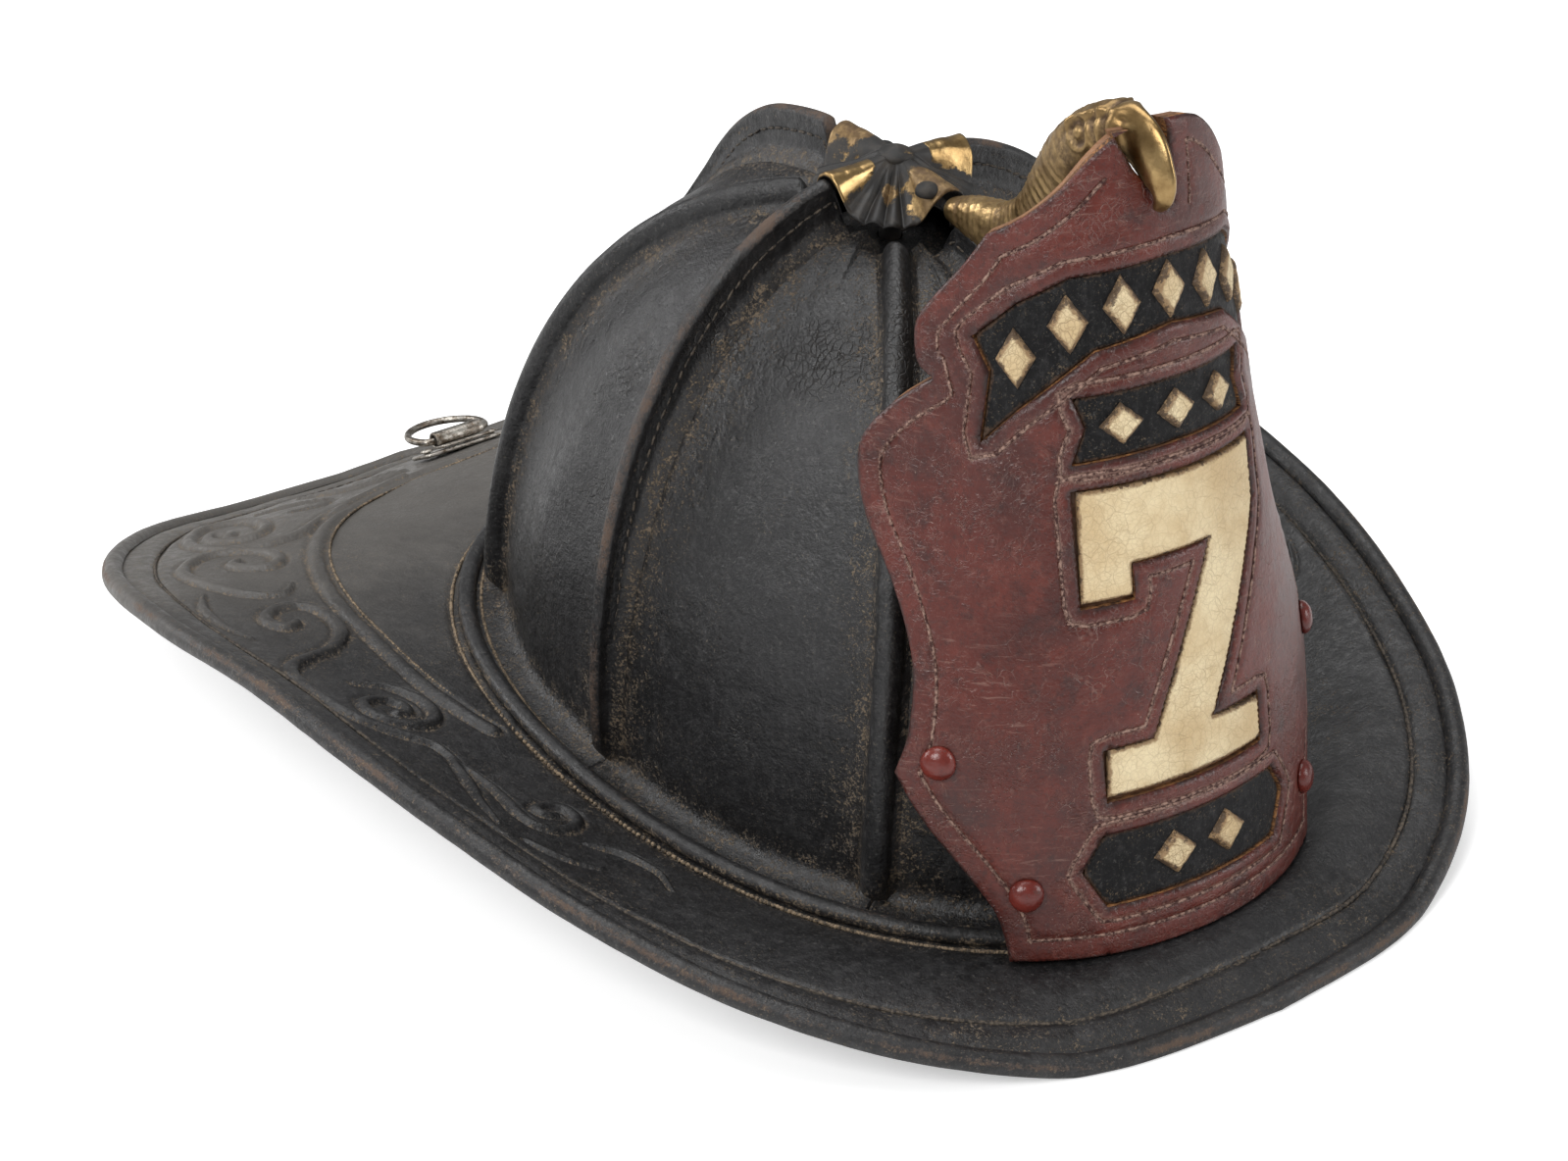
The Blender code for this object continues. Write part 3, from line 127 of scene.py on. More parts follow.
def noise2(x, y, cell, seed):
    """Smooth value noise in the plane, -1 to 1."""
    table = np.random.default_rng(seed).uniform(-1, 1, (64, 64))
    u, v = np.asarray(x) / cell, np.asarray(y) / cell
    i, j = np.floor(u).astype(int), np.floor(v).astype(int)
    a, b = u - i, v - j
    a, b = a * a * (3 - 2 * a), b * b * (3 - 2 * b)
    near, far = (table[(i + p) % 64, j % 64] * (1 - b) + table[(i + p) % 64, (j + 1) % 64] * b for p in (0, 1))
    return near * (1 - a) + far * a


# Surfaces of the part
def crown_dir(v):
    v = np.asarray(v, float)
    c, s = math.cos(TILT), math.sin(TILT)
    return np.stack([v[..., 0], v[..., 1] * c - v[..., 2] * s, v[..., 1] * s + v[..., 2] * c], -1)


def crown_at(x, y, z):
    """Place in the tilted frame of the crown."""
    return crown_dir(np.stack(np.broadcast_arrays(x, y, z), -1)) + np.array([0.0, CROWN_Y, CROWN_Z])


CROWN_UP = crown_dir(UP)
CROWN_AXES = np.array([1.0, 0, 0]), np.cross(CROWN_UP, [1.0, 0, 0]), CROWN_UP


def oval(angle, wide, half):
    """Plan of the crown: x and y at an angle from the front."""
    return -power(np.sin(angle), 2 / PLAN_E) * wide, -power(np.cos(angle), 2 / PLAN_E) * half


def dome(angle, share, proud=0.0):
    """Crown surface: angle from the front, share of the way up, height off the surface."""
    angle, share, proud = np.broadcast_arrays(*(np.asarray(v, float) for v in (angle, share, proud)))
    half = np.where(np.cos(angle) > 0, CROWN_F, CROWN_B)
    spread = np.cos(math.pi * share / 2) ** (2 / DOME_E)
    level = np.sin(math.pi * share / 2) ** (2 / DOME_E)
    x, y = oval(angle, spread, spread)
    ring = (np.abs(x) ** PLAN_E + np.abs(y) ** PLAN_E + 1e-15) ** (DOME_E / PLAN_E - 1)
    n = norm(np.stack([ring * power(x, PLAN_E - 1) / CROWN_W, ring * power(y, PLAN_E - 1) / half,
                       level ** (DOME_E - 1) / CROWN_H], -1)) * proud[..., None]
    return crown_at(x * CROWN_W + n[..., 0], y * half + n[..., 1], level * CROWN_H + n[..., 2])


def dome_share(radius):
    """Share of the way up at which the crown is a radius wide."""
    return math.acos((radius / CROWN_W) ** (DOME_E / 2)) * 2 / math.pi


def turn_for(distance, angle, share):
    """Turn about the crown that moves a surface point by a distance."""
    e = math.radians(1)
    return distance * 2 * e / length(dome(angle + e, share) - dome(angle - e, share))


def comb_half(angle, share):
    return np.minimum(COMB_FOOT / 2, math.pi / 4 / turn_for(1.0, angle, share) * COMB_END)


def edge_point(angle):
    """Centre line of the brim's rolled edge."""
    angle = np.asarray(angle, float)
    side = np.where(np.sin(angle) > 0, -1.0, 1.0)
    e = spline(BRIM_EDGE, np.arccos(np.clip(np.cos(angle), -1, 1)) / math.pi)
    reach = np.where(e[..., 1] < 0, BRIM_FRONT, BRIM_REAR)
    z = ROLL_HEIGHT + BRIM_RISE * np.maximum(e[..., 2] - REST_SHARE, 0)
    return np.stack([side * e[..., 0] * BRIM_HALF, BRIM_Y + e[..., 1] * reach, z], -1)


def brim_foot(angle, proud=FLARE + LEDGE):
    return dome(angle, 0.0, proud) - CROWN_UP * GAP


def brim_frame(angle):
    """Rolled edge with its outward and upward directions."""
    edge = edge_point(angle)
    out = norm(edge - brim_foot(angle))
    e = math.radians(1)
    way = norm(edge_point(angle + e) - edge_point(angle - e))
    up = norm(np.cross(way, out))
    up = np.where(up[..., 2:] < 0, -up, up)
    return edge, norm(out - way * np.sum(out * way, -1, keepdims=True)), up


def brim_top(angle, share):
    """Top of the brim, from the crown's flare at 0 to the rolled edge at 1."""
    angle, share = np.broadcast_arrays(np.asarray(angle, float), np.asarray(share, float))
    edge, out, up = brim_frame(angle)
    end = edge - out * (WIRE_R + 2 * GAP) + up * EDGE_THICK / 2
    foot = brim_foot(angle)
    p = foot + (end - foot) * share[..., None]
    crowning = 0.00175 - 0.0005 * np.cos(angle) + 0.00475 * np.cos(2 * angle)
    p[..., 2] += crowning * (4 * share * (1 - share)) ** 2
    return p


def brim_run(angle):
    return length(brim_top(angle, 1.0) - brim_top(angle, 0.0))


def brim_spot(angle, share, proud=0.0):
    """A point on the brim's top with its upward direction."""
    p = brim_top(angle, share)
    e = 0.004
    n = norm(np.cross(brim_top(angle + e, share) - brim_top(angle - e, share),
                      brim_top(angle, share + e) - brim_top(angle, share - e)))
    n = np.where(n[..., 2:] < 0, -n, n)
    return p + n * proud, n


def brim_under_plan(plan):
    """Points on the brim's top under plan positions, found by Newton steps."""
    a = np.arctan2(-plan[:, 0], -(plan[:, 1] - BRIM_Y))
    s = np.full(len(plan), 0.5)
    e = 1e-4
    for _ in range(80):
        here = brim_top(a, s)
        gap = plan - here[:, :2]
        da = (brim_top(a + e, s) - here)[:, :2] / e
        ds = (brim_top(a, s + e) - here)[:, :2] / e
        det = da[:, 0] * ds[:, 1] - da[:, 1] * ds[:, 0]
        a = a + 0.8 * (gap[:, 0] * ds[:, 1] - gap[:, 1] * ds[:, 0]) / det
        s = np.clip(s + 0.8 * (da[:, 0] * gap[:, 1] - da[:, 1] * gap[:, 0]) / det, 0.02, 0.98)
    return brim_spot(a, s)


def shield_at(across, up, depth=0.0):
    """Points of the shield: arc distance, distance up from its foot, and depth off its front face."""
    across, up, depth = np.broadcast_arrays(*(np.asarray(v, float) for v in (across, up, depth)))
    radius = SHIELD_R * sum(np.interp(up / SHIELD_H + d, BEND_AT, BEND) for d in (-.05, -.025, 0, .025, .05)) / 5
    turn = np.clip(across / radius, -WING, WING)
    straight = np.abs(across - turn * radius)
    x = (radius + depth) * np.sin(turn) + np.sign(turn) * straight * math.cos(WING)
    inward = radius - (radius + depth) * np.cos(turn) + straight * math.sin(WING)
    y = SHIELD_Y + up * math.sin(LEAN) + inward * math.cos(LEAN)
    z = SHIELD_Z + up * math.cos(LEAN) - inward * math.sin(LEAN)
    return np.stack([x, y, z], -1)


def shield_normal(across, up):
    e = 0.0005
    return norm(np.cross(shield_at(across + e, up) - shield_at(across - e, up),
                         shield_at(across, up + e) - shield_at(across, up - e)))


# Meshes
def raw_mesh(name, verts, faces, material, attributes=None, sharp_angle=None):
    mesh = bpy.data.meshes.new(name)
    mesh.from_pydata([tuple(v) for v in np.asarray(verts).tolist()], [], faces)
    mesh.validate()
    mesh.update()
    mesh.shade_smooth()
    if sharp_angle:
        mesh.set_sharp_from_angle(angle=math.radians(sharp_angle))
    for key, values in (attributes or {}).items():
        layer = mesh.attributes.new(key, "FLOAT", "POINT")
        layer.data.foreach_set("value", np.asarray(values, np.float32).ravel())
    mesh.materials.append(material)
    made = bpy.data.objects.new(name, mesh)
    bpy.context.scene.collection.objects.link(made)
    return made


def grid_faces(rows, columns, wrap_rows, wrap_columns):
    a, b = np.meshgrid(np.arange(rows if wrap_rows else rows - 1),
                       np.arange(columns if wrap_columns else columns - 1), indexing="ij")
    a2, b2 = (a + 1) % rows, (b + 1) % columns
    return np.stack([a * columns + b, a * columns + b2, a2 * columns + b2, a2 * columns + b], -1).reshape(-1, 4)


def grid(name, points, material, wrap_rows=False, wrap_columns=False, caps=False, flip=False, **attributes):
    """Skin over a grid of points, rows by columns."""
    rows, columns = points.shape[:2]
    faces = grid_faces(rows, columns, wrap_rows, wrap_columns).tolist()
    if caps:
        faces.append(list(range(columns))[::-1])
        faces.append([(rows - 1) * columns + k for k in range(columns)])
    if flip:
        faces = [f[::-1] for f in faces]
    return raw_mesh(name, points.reshape(-1, 3), faces, material,
                    {k: np.broadcast_to(v, (rows, columns)) for k, v in attributes.items()})


def tube(name, path, radius, material, normals, sides=18, squash=1.0, **attributes):
    """Round closed tube along a path; normals say which way its flattened side faces."""
    way = norm(np.roll(path, -1, 0) - np.roll(path, 1, 0))
    side = norm(np.cross(way, np.broadcast_to(normals, way.shape)))
    lift = np.cross(side, way)
    t = circle(sides)[None, :, None]
    ring = path[:, None] + (side[:, None] * np.cos(t) + lift[:, None] * np.sin(t) * squash) * radius[:, None, None]
    return grid(name, ring, material, wrap_rows=True, wrap_columns=True, flip=True, **attributes)


def stitches(name, points, normals, material, size, pitch, closed=False, jitter=0.12):
    """A row of thread stitches along a line on a surface; size is length, width and height."""
    spots, ways = along(np.hstack([points, normals]), pitch, closed)
    ways, ups = norm(ways[:, :3]), norm(spots[:, 3:])
    count = len(spots)
    rng = np.random.default_rng(len(name) + count)
    ways = norm(ways + np.cross(ups, ways) * rng.normal(0, jitter, count)[:, None])
    along_size = size[0] / 2 * rng.uniform(0.8, 1.08, count)
    across_size = size[1] / 2 * rng.uniform(0.8, 1.15, count)
    sides = norm(np.cross(ways, ups))
    ups = np.cross(sides, ways) * size[2]
    # Each stitch is a small rounded capsule
    rows, columns = 7, 8
    t, u = circle(columns), np.linspace(-math.pi / 2, math.pi / 2, rows)[:, None]
    capsule = power(np.sin(u), 0.8) + 0 * t, np.cos(u) * np.cos(t), np.cos(u) * np.sin(t)
    x, y, z = (v[None, ..., None] for v in capsule)
    pts = (spots[:, None, None, :3] + (ways * along_size[:, None])[:, None, None] * x
           + (sides * across_size[:, None])[:, None, None] * y + ups[:, None, None] * z)
    one = grid_faces(rows, columns, False, True)[:, ::-1]
    faces = (one[None] + (np.arange(count) * rows * columns)[:, None, None]).reshape(-1, 4).tolist()
    return raw_mesh(name, pts.reshape(-1, 3), faces, material)


def ride(made, node=None, body="helmet"):
    """Fix a piece to its body, with the CAD node that it stands for."""
    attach(made, body)
    if node:
        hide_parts(node)
    return made


# Node materials
class Value:
    """Output of a node; sums, products and steps of it are further nodes."""

    def __init__(self, nodes, socket):
        self.nodes, self.socket = nodes, socket

    def __add__(self, other):
        return self.nodes.math("ADD", self, other)

    def __sub__(self, other):
        return self.nodes.math("SUBTRACT", self, other)

    def __mul__(self, other):
        return self.nodes.math("MULTIPLY", self, other)

    def most(self, other):
        return self.nodes.math("MAXIMUM", self, other)

    def step(self, low, high, out_low=0.0, out_high=1.0):
        return self.nodes.node("MapRange", "Result", {"interpolation_type": "SMOOTHSTEP"}, Value=self,
                               From_Min=low, From_Max=high, To_Min=out_low, To_Max=out_high)


class Nodes:
    """Adds nodes to a node tree."""

    def __init__(self, tree):
        self.tree = tree

    def put(self, value, socket):
        if isinstance(value, Value):
            self.tree.links.new(value.socket, socket)
        elif isinstance(value, tuple) and len(value) < len(socket.default_value):
            socket.default_value = (*value, 1.0)
        else:
            socket.default_value = value

    def node(self, kind, output=0, settings=None, *ports, **inputs):
        made = self.tree.nodes.new("ShaderNode" + kind)
        for key, value in (settings or {}).items():
            setattr(made, key, value)
        for index, value in enumerate(ports):
            self.put(value, made.inputs[index])
        for key, value in inputs.items():
            self.put(value, made.inputs[key.replace("_", " ")])
        return Value(self, made.outputs[output])

    def math(self, operation, a, b, clamp=False):
        return self.node("Math", 0, {"operation": operation, "use_clamp": clamp}, a, b)

    def seen(self):
        """1 for what the camera sees, straight or through glass, and 0 for light."""
        return self.node("LightPath", "Is Camera Ray").most(self.node("LightPath", "Is Transmission Ray"))


class Shade(Nodes):
    """A node material whose colour is a stack of layers."""

    def __init__(self, name, base):
        self.material = bpy.data.materials.new(name)
        self.material.use_nodes = True
        super().__init__(self.material.node_tree)
        self.coords = self.node("TexCoord", "Object")
        self.tone = base

    def mix(self, factor, a, b):
        return self.node("Mix", "Result", {"data_type": "RGBA"}, Factor=factor, A=a, B=b)

    def lay(self, factor, colour):
        """Lay a colour over the tone so far."""
        self.tone = self.mix(factor, self.tone, colour)

    def noise(self, scale, detail, rough, stretch=None, distortion=0.0):
        vector = self.node("Mapping", "Vector", Vector=self.coords, Scale=stretch) if stretch else self.coords
        return self.node("TexNoise", "Fac", Vector=vector, Scale=scale, Detail=detail, Roughness=rough,
                         Distortion=distortion)

    def cells(self, scale, warp, warp_scale):
        """Distance to the edges of cells that wander with a noise."""
        push = self.node("TexNoise", "Color", Vector=self.coords, Scale=warp_scale, Detail=3.0)
        vector = self.node("VectorMath", "Vector", {"operation": "MULTIPLY_ADD"}, push, (warp,) * 3, self.coords)
        return self.node("TexVoronoi", "Distance", {"feature": "DISTANCE_TO_EDGE"}, Vector=vector, Scale=scale)

    def attribute(self, name):
        return self.node("Attribute", "Fac", {"attribute_name": name})

    def finish(self, roughness, relief, depth, strength=0.6, metallic=0.0, specular=0.5, sheen=0.0):
        normal = self.node("Bump", "Normal", Distance=depth, Strength=strength, Height=relief)
        shader = self.tree.nodes["Principled BSDF"]
        for key, value in (("Base Color", self.tone), ("Roughness", roughness), ("Normal", normal),
                           ("Metallic", metallic), ("Specular IOR Level", specular), ("Sheen Weight", sheen)):
            self.put(value, shader.inputs[key])
        return self.material


def black_leather(name, dusty=0.0, streak=(60, 60, 14), gloss=0.31, specular=0.5, depth=0.0014):
    """Black satin leather: fine grain, streaks, rubbed brown edges and tan dust in the seams."""
    s = Shade(name, (0.0050, 0.0049, 0.0054))
    wear, dirt = s.attribute("wear"), s.attribute("dirt")
    broad, streaks = s.noise(18, 4, 0.6), s.noise(9, 6, 0.72, stretch=streak)
    flecks, clumps = s.noise(1250, 4, 0.8), s.noise(210, 4, 0.7)
    s.lay(broad.step(0.32, 0.72), (0.0110, 0.0107, 0.0116))
    s.lay(streaks.step(0.50, 0.70, 0, 0.50), (0.034, 0.033, 0.034))
    s.lay(s.noise(260, 5, 0.75).step(0.52, 0.68, 0, 0.50), (0.034, 0.033, 0.034))
    s.lay(s.noise(820, 5, 0.85).step(0.55, 0.68, 0, 0.70), (0.082, 0.078, 0.074))
    # Grey dust laid on more heavily towards the rear of the brim, where it is also painted sheen on the tail
    dust = s.noise(34, 5, 0.7) * 0.55 + s.attribute("age") * 0.62 + (dusty - 0.32)
    s.lay(dust.step(0.0, 0.60), (0.085, 0.079, 0.072))
    # Fine cracks, which carry some dust
    crack = s.cells(420, 0.012, 90).step(0.0, 0.08, 1.0, 0.0) * s.noise(13, 3, 0.6).step(0.60, 0.70)
    s.lay(crack * 0.12, (0.10, 0.085, 0.07))
    # Scuffs through the black to the hide, and dirt in the seams
    rubbed = (flecks * 0.42 + wear * 0.30 + clumps * 0.32).step(0.54, 0.68) * wear.step(0.05, 0.6)
    s.lay(rubbed * 0.80, (0.090, 0.055, 0.036))
    grime = (dirt * 0.085 + flecks + clumps * 0.40).step(0.815, 0.875) * dirt.step(0.04, 0.4)
    s.lay(dirt.step(0.4, 1.2) * 0.22, (0.034, 0.028, 0.023))
    s.lay(grime * 0.72, (0.205, 0.152, 0.098))
    specks = s.noise(1700, 2, 0.5).step(0.650, 0.72) * s.noise(46, 4, 0.7).step(0.42, 0.66)
    s.lay(specks * 0.60, (0.185, 0.150, 0.108))
    shine = broad * 0.16 + (gloss - 0.10) + s.noise(300, 5, 0.75).step(0.35, 0.65, 0.0, 0.22)
    shine = shine.most(grime.most(rubbed) * 0.75)
    relief = s.noise(420, 3, 0.6) * 0.25 + s.noise(150, 4, 0.6) * 0.50 + s.noise(1150, 3, 0.65) * 0.20
    relief = relief + streaks * 0.20 - crack * 0.28 - rubbed * 0.10 + grime * 0.12
    return s.finish(shine, relief, depth, specular=specular)


def red_leather(name):
    """Oxblood leather with fine whitish craze, rubbed dark edges and dust along the stitching."""
    s = Shade(name, (0.055, 0.0090, 0.0058))
    wear, dirt, mottled = s.attribute("wear"), s.attribute("dirt"), s.noise(85, 5, 0.7)
    s.lay(s.noise(20, 4, 0.6).step(0.30, 0.72), (0.102, 0.0142, 0.0080))
    s.lay(mottled.step(0.48, 0.66, 0, 0.65), (0.128, 0.0205, 0.0118))
    s.lay(mottled.step(0.32, 0.47, 0.75, 0.0), (0.036, 0.0100, 0.0085))
    s.lay(s.noise(300, 5, 0.8).step(0.52, 0.68, 0, 0.42), (0.150, 0.052, 0.037))
    s.lay(s.noise(640, 4, 0.8).step(0.50, 0.34, 0, 0.55), (0.034, 0.0095, 0.0080))
    # Craze: a fine net where the hide flexed, longer creases across it, and scratches
    flexed = s.noise(24, 4, 0.65).step(0.46, 0.60).most(dirt.step(0.02, 0.30) * 0.60)
    craze = s.cells(560, 0.014, 110).step(0.0, 0.11, 1.0, 0.0) * flexed * s.noise(150, 4, 0.75).step(0.43, 0.54)
    crease = (s.cells(170, 0.030, 60).step(0.0, 0.030, 1.0, 0.0) * s.noise(19, 3, 0.6).step(0.44, 0.58)
              * s.noise(120, 4, 0.75).step(0.44, 0.56))
    scratch = (s.noise(30, 5, 0.75, stretch=(4, 4, 40), distortion=0.5).step(0.58, 0.64)
               * s.noise(17, 3, 0.6).step(0.42, 0.56))
    pale = (craze * 0.13).most(crease * 0.30).most(scratch * 0.30)
    s.lay(pale, (0.33, 0.205, 0.165))
    # Dust by the seams and in specks, and a dark rubbed rim
    dusted = (dirt * 0.30 + s.noise(1300, 4, 0.8) * 0.7).step(0.50, 0.66) * dirt.step(0.05, 0.6)
    s.lay(dusted * 0.50, (0.30, 0.185, 0.145))
    specks = s.noise(1700, 2, 0.5).step(0.655, 0.72) * s.noise(52, 4, 0.7).step(0.44, 0.66)
    s.lay(specks * 0.55, (0.32, 0.23, 0.19))
    s.lay(wear.step(0.15, 0.85) * s.noise(210, 4, 0.7).step(0.30, 0.62) * 0.86, (0.020, 0.0095, 0.0080))
    relief = s.noise(900, 3, 0.6) * 0.22 + s.noise(150, 5, 0.65) * 0.55 - craze.most(crease) * 0.25
    return s.finish(mottled * 0.26 + 0.24 + pale * 0.25, relief, 0.0012)


def cream_leather(name, aged=0.0):
    """Cream skin with a fine dark craze, darker towards its edges."""
    s = Shade(name, (0.58, 0.43, 0.235))
    wear = s.attribute("wear")
    s.lay(s.noise(60, 4, 0.6).step(0.30, 0.72), (0.78, 0.655, 0.42))
    crack = s.cells(900, 0.0035, 200).step(0.0, 0.10, 0.55, 0.0).most(
        s.cells(300, 0.006, 120).step(0.0, 0.045, 0.85, 0.0))
    crack = s.math("MULTIPLY", crack, s.noise(75, 4, 0.7) * 0.9 + (aged - 0.12), clamp=True)
    s.lay(crack, (0.27, 0.165, 0.078))
    # Darker towards the edges; on the numeral this is painted shade along the cut edge of the leaf over it
    s.lay((s.noise(240, 5, 0.75) * 0.75 + wear * 0.62).step(0.62, 0.86) * 0.85, (0.23, 0.135, 0.062))
    chips = (wear * 0.35 + s.noise(330, 4, 0.8)).step(0.80 - 0.10 * aged, 0.86 - 0.10 * aged)
    s.lay(chips * 0.8, (0.055, 0.034, 0.022))
    return s.finish(0.56, s.noise(380, 4, 0.65) * 0.5 - crack * 0.55, 0.0009, specular=0.4)


def raw_edge(name):
    """Cut edge of hide: tan to orange fibre, darkened by handling."""
    s = Shade(name, (0.045, 0.022, 0.012))
    fibre = s.noise(420, 4, 0.7, stretch=(1, 1, 5))
    s.lay(fibre.step(0.35, 0.66), (0.36, 0.165, 0.060))
    s.lay(s.noise(60, 3, 0.6).step(0.40, 0.66), (0.10, 0.046, 0.022))
    return s.finish(0.72, fibre, 0.0010, specular=0.3)


def tan_leather(name):
    s = Shade(name, (0.115, 0.050, 0.022))
    s.lay(s.noise(35, 4, 0.6).step(0.34, 0.70), (0.27, 0.130, 0.058))
    s.lay(s.noise(120, 5, 0.7).step(0.55, 0.78, 0, 0.6), (0.050, 0.024, 0.013))
    relief = s.noise(480, 3, 0.6) * 0.3 + s.cells(420, 0.004, 120)
    return s.finish(s.noise(90, 3, 0.6) * 0.25 + 0.42, relief, 0.0008, 0.5)


def thread(name, colour, dust):
    s = Shade(name, colour)
    s.lay(s.noise(900, 3, 0.7).step(0.38, 0.64), dust)
    return s.finish(0.7, s.noise(2600, 2, 0.6), 0.0005, 0.4, specular=0.3)


def brass(name):
    """Aged brass under black paint, worn through on the ridges."""
    s = Shade(name, (0.235, 0.150, 0.062))
    s.lay(s.noise(70, 5, 0.65).step(0.35, 0.70), (0.52, 0.36, 0.165))
    s.lay(s.noise(230, 5, 0.7).step(0.52, 0.74, 0, 0.8), (0.16, 0.092, 0.036))
    painted = (s.noise(190, 5, 0.75) * 0.62 + s.attribute("paint")).step(0.76, 0.84)
    # Dirt dulls and darkens the brass; on the eagle's beak it is also painted shade on the lower side
    grime = s.attribute("dirt").step(0.05, 0.9)
    s.lay(grime * s.noise(420, 4, 0.7).step(0.28, 0.58, 0.35, 1.0), (0.075, 0.042, 0.018))
    s.lay(painted, s.mix(s.noise(160, 4, 0.7).step(0.42, 0.72), (0.008, 0.0072, 0.0068), (0.030, 0.024, 0.018)))
    shine = s.noise(260, 4, 0.6) * 0.22 + 0.20 + grime * 0.22 + painted * 0.22
    metallic = s.math("SUBTRACT", 1.0, painted.most(grime * 0.55))
    return s.finish(shine, painted * 0.35 + s.noise(480, 3, 0.6) * 0.30, 0.0007, 0.45, metallic)


def nickel(name):
    """Thin nickel plate, browned and pitted."""
    s = Shade(name, (0.42, 0.395, 0.355))
    s.lay(s.noise(260, 5, 0.7).step(0.42, 0.62), (0.155, 0.130, 0.105))
    s.lay(s.noise(700, 4, 0.7).step(0.52, 0.66, 0, 0.8), (0.10, 0.068, 0.042))
    return s.finish(s.noise(500, 4, 0.6) * 0.34 + 0.22, s.noise(650, 4, 0.65), 0.0006, 0.4, 1.0)


def red_paint(name):
    s = Shade(name, (0.085, 0.012, 0.009))
    worn = s.noise(300, 5, 0.7).step(0.58, 0.70)
    s.lay(s.noise(120, 3, 0.6).step(0.35, 0.70), (0.15, 0.022, 0.015))
    s.lay(worn, (0.062, 0.022, 0.017))
    return s.finish(worn * 0.25 + 0.26, s.noise(420, 4, 0.6), 0.0006, 0.4)


def felt(name, light, dark):
    s = Shade(name, dark)
    fibre = s.noise(1300, 3, 0.8, distortion=1.5)
    s.lay(fibre.step(0.36, 0.62), light)
    s.lay(s.noise(45, 4, 0.6).step(0.50, 0.75, 0, 0.5), tuple(v * 0.45 for v in dark))
    return s.finish(0.95, fibre, 0.0009, specular=0.2, sheen=0.3)


def cotton(name, light, dark):
    """Plain-woven cotton, soiled where it has been worn."""
    s = Shade(name, dark)
    warp, weft = (s.node("TexWave", "Fac", {"bands_direction": way}, Vector=s.coords, Scale=520, Distortion=0.6)
                  for way in "XZ")
    weave = warp.most(weft)
    s.lay(weave, light)
    s.lay(s.noise(30, 4, 0.6).step(0.45, 0.72, 0, 0.6), tuple(v * 0.4 for v in dark))
    return s.finish(0.9, weave, 0.0004, 0.5, specular=0.2, sheen=0.2)


BLACK = black_leather("crown_leather", streak=(52, 52, 9), gloss=0.29, depth=0.0022)
BRIM = black_leather("brim_leather", dusty=0.04, streak=(18, 18, 30), gloss=0.40)
COMB = black_leather("comb_leather", dusty=0.05, streak=(52, 52, 9), gloss=0.34, depth=0.0018)
RED = red_leather("shield_leather")
CREAM = cream_leather("numeral_leather")
CREAM_OLD = cream_leather("lozenge_leather", aged=0.35)
PANEL_BLACK = black_leather("panel_leather", gloss=0.50, specular=0.18)
RAW = raw_edge("cut_leather_edge")
TAN = tan_leather("band_leather")
THREAD = thread("dusty_thread", (0.045, 0.036, 0.027), (0.25, 0.185, 0.120))
DARK_THREAD = thread("dark_thread", (0.018, 0.016, 0.015), (0.10, 0.080, 0.060))
RED_THREAD = thread("red_thread", (0.040, 0.012, 0.010), (0.30, 0.19, 0.150))
BRASS = brass("painted_brass")
NICKEL = nickel("dull_nickel_plate")
RIVET = red_paint("rivet_paint")
FELT = felt("pad_felt", (0.21, 0.18, 0.14), (0.10, 0.085, 0.065))
LINEN = cotton("liner_cotton", (0.42, 0.36, 0.27), (0.20, 0.165, 0.115))
LACE = cotton("lace_cotton", (0.55, 0.48, 0.35), (0.30, 0.25, 0.17))


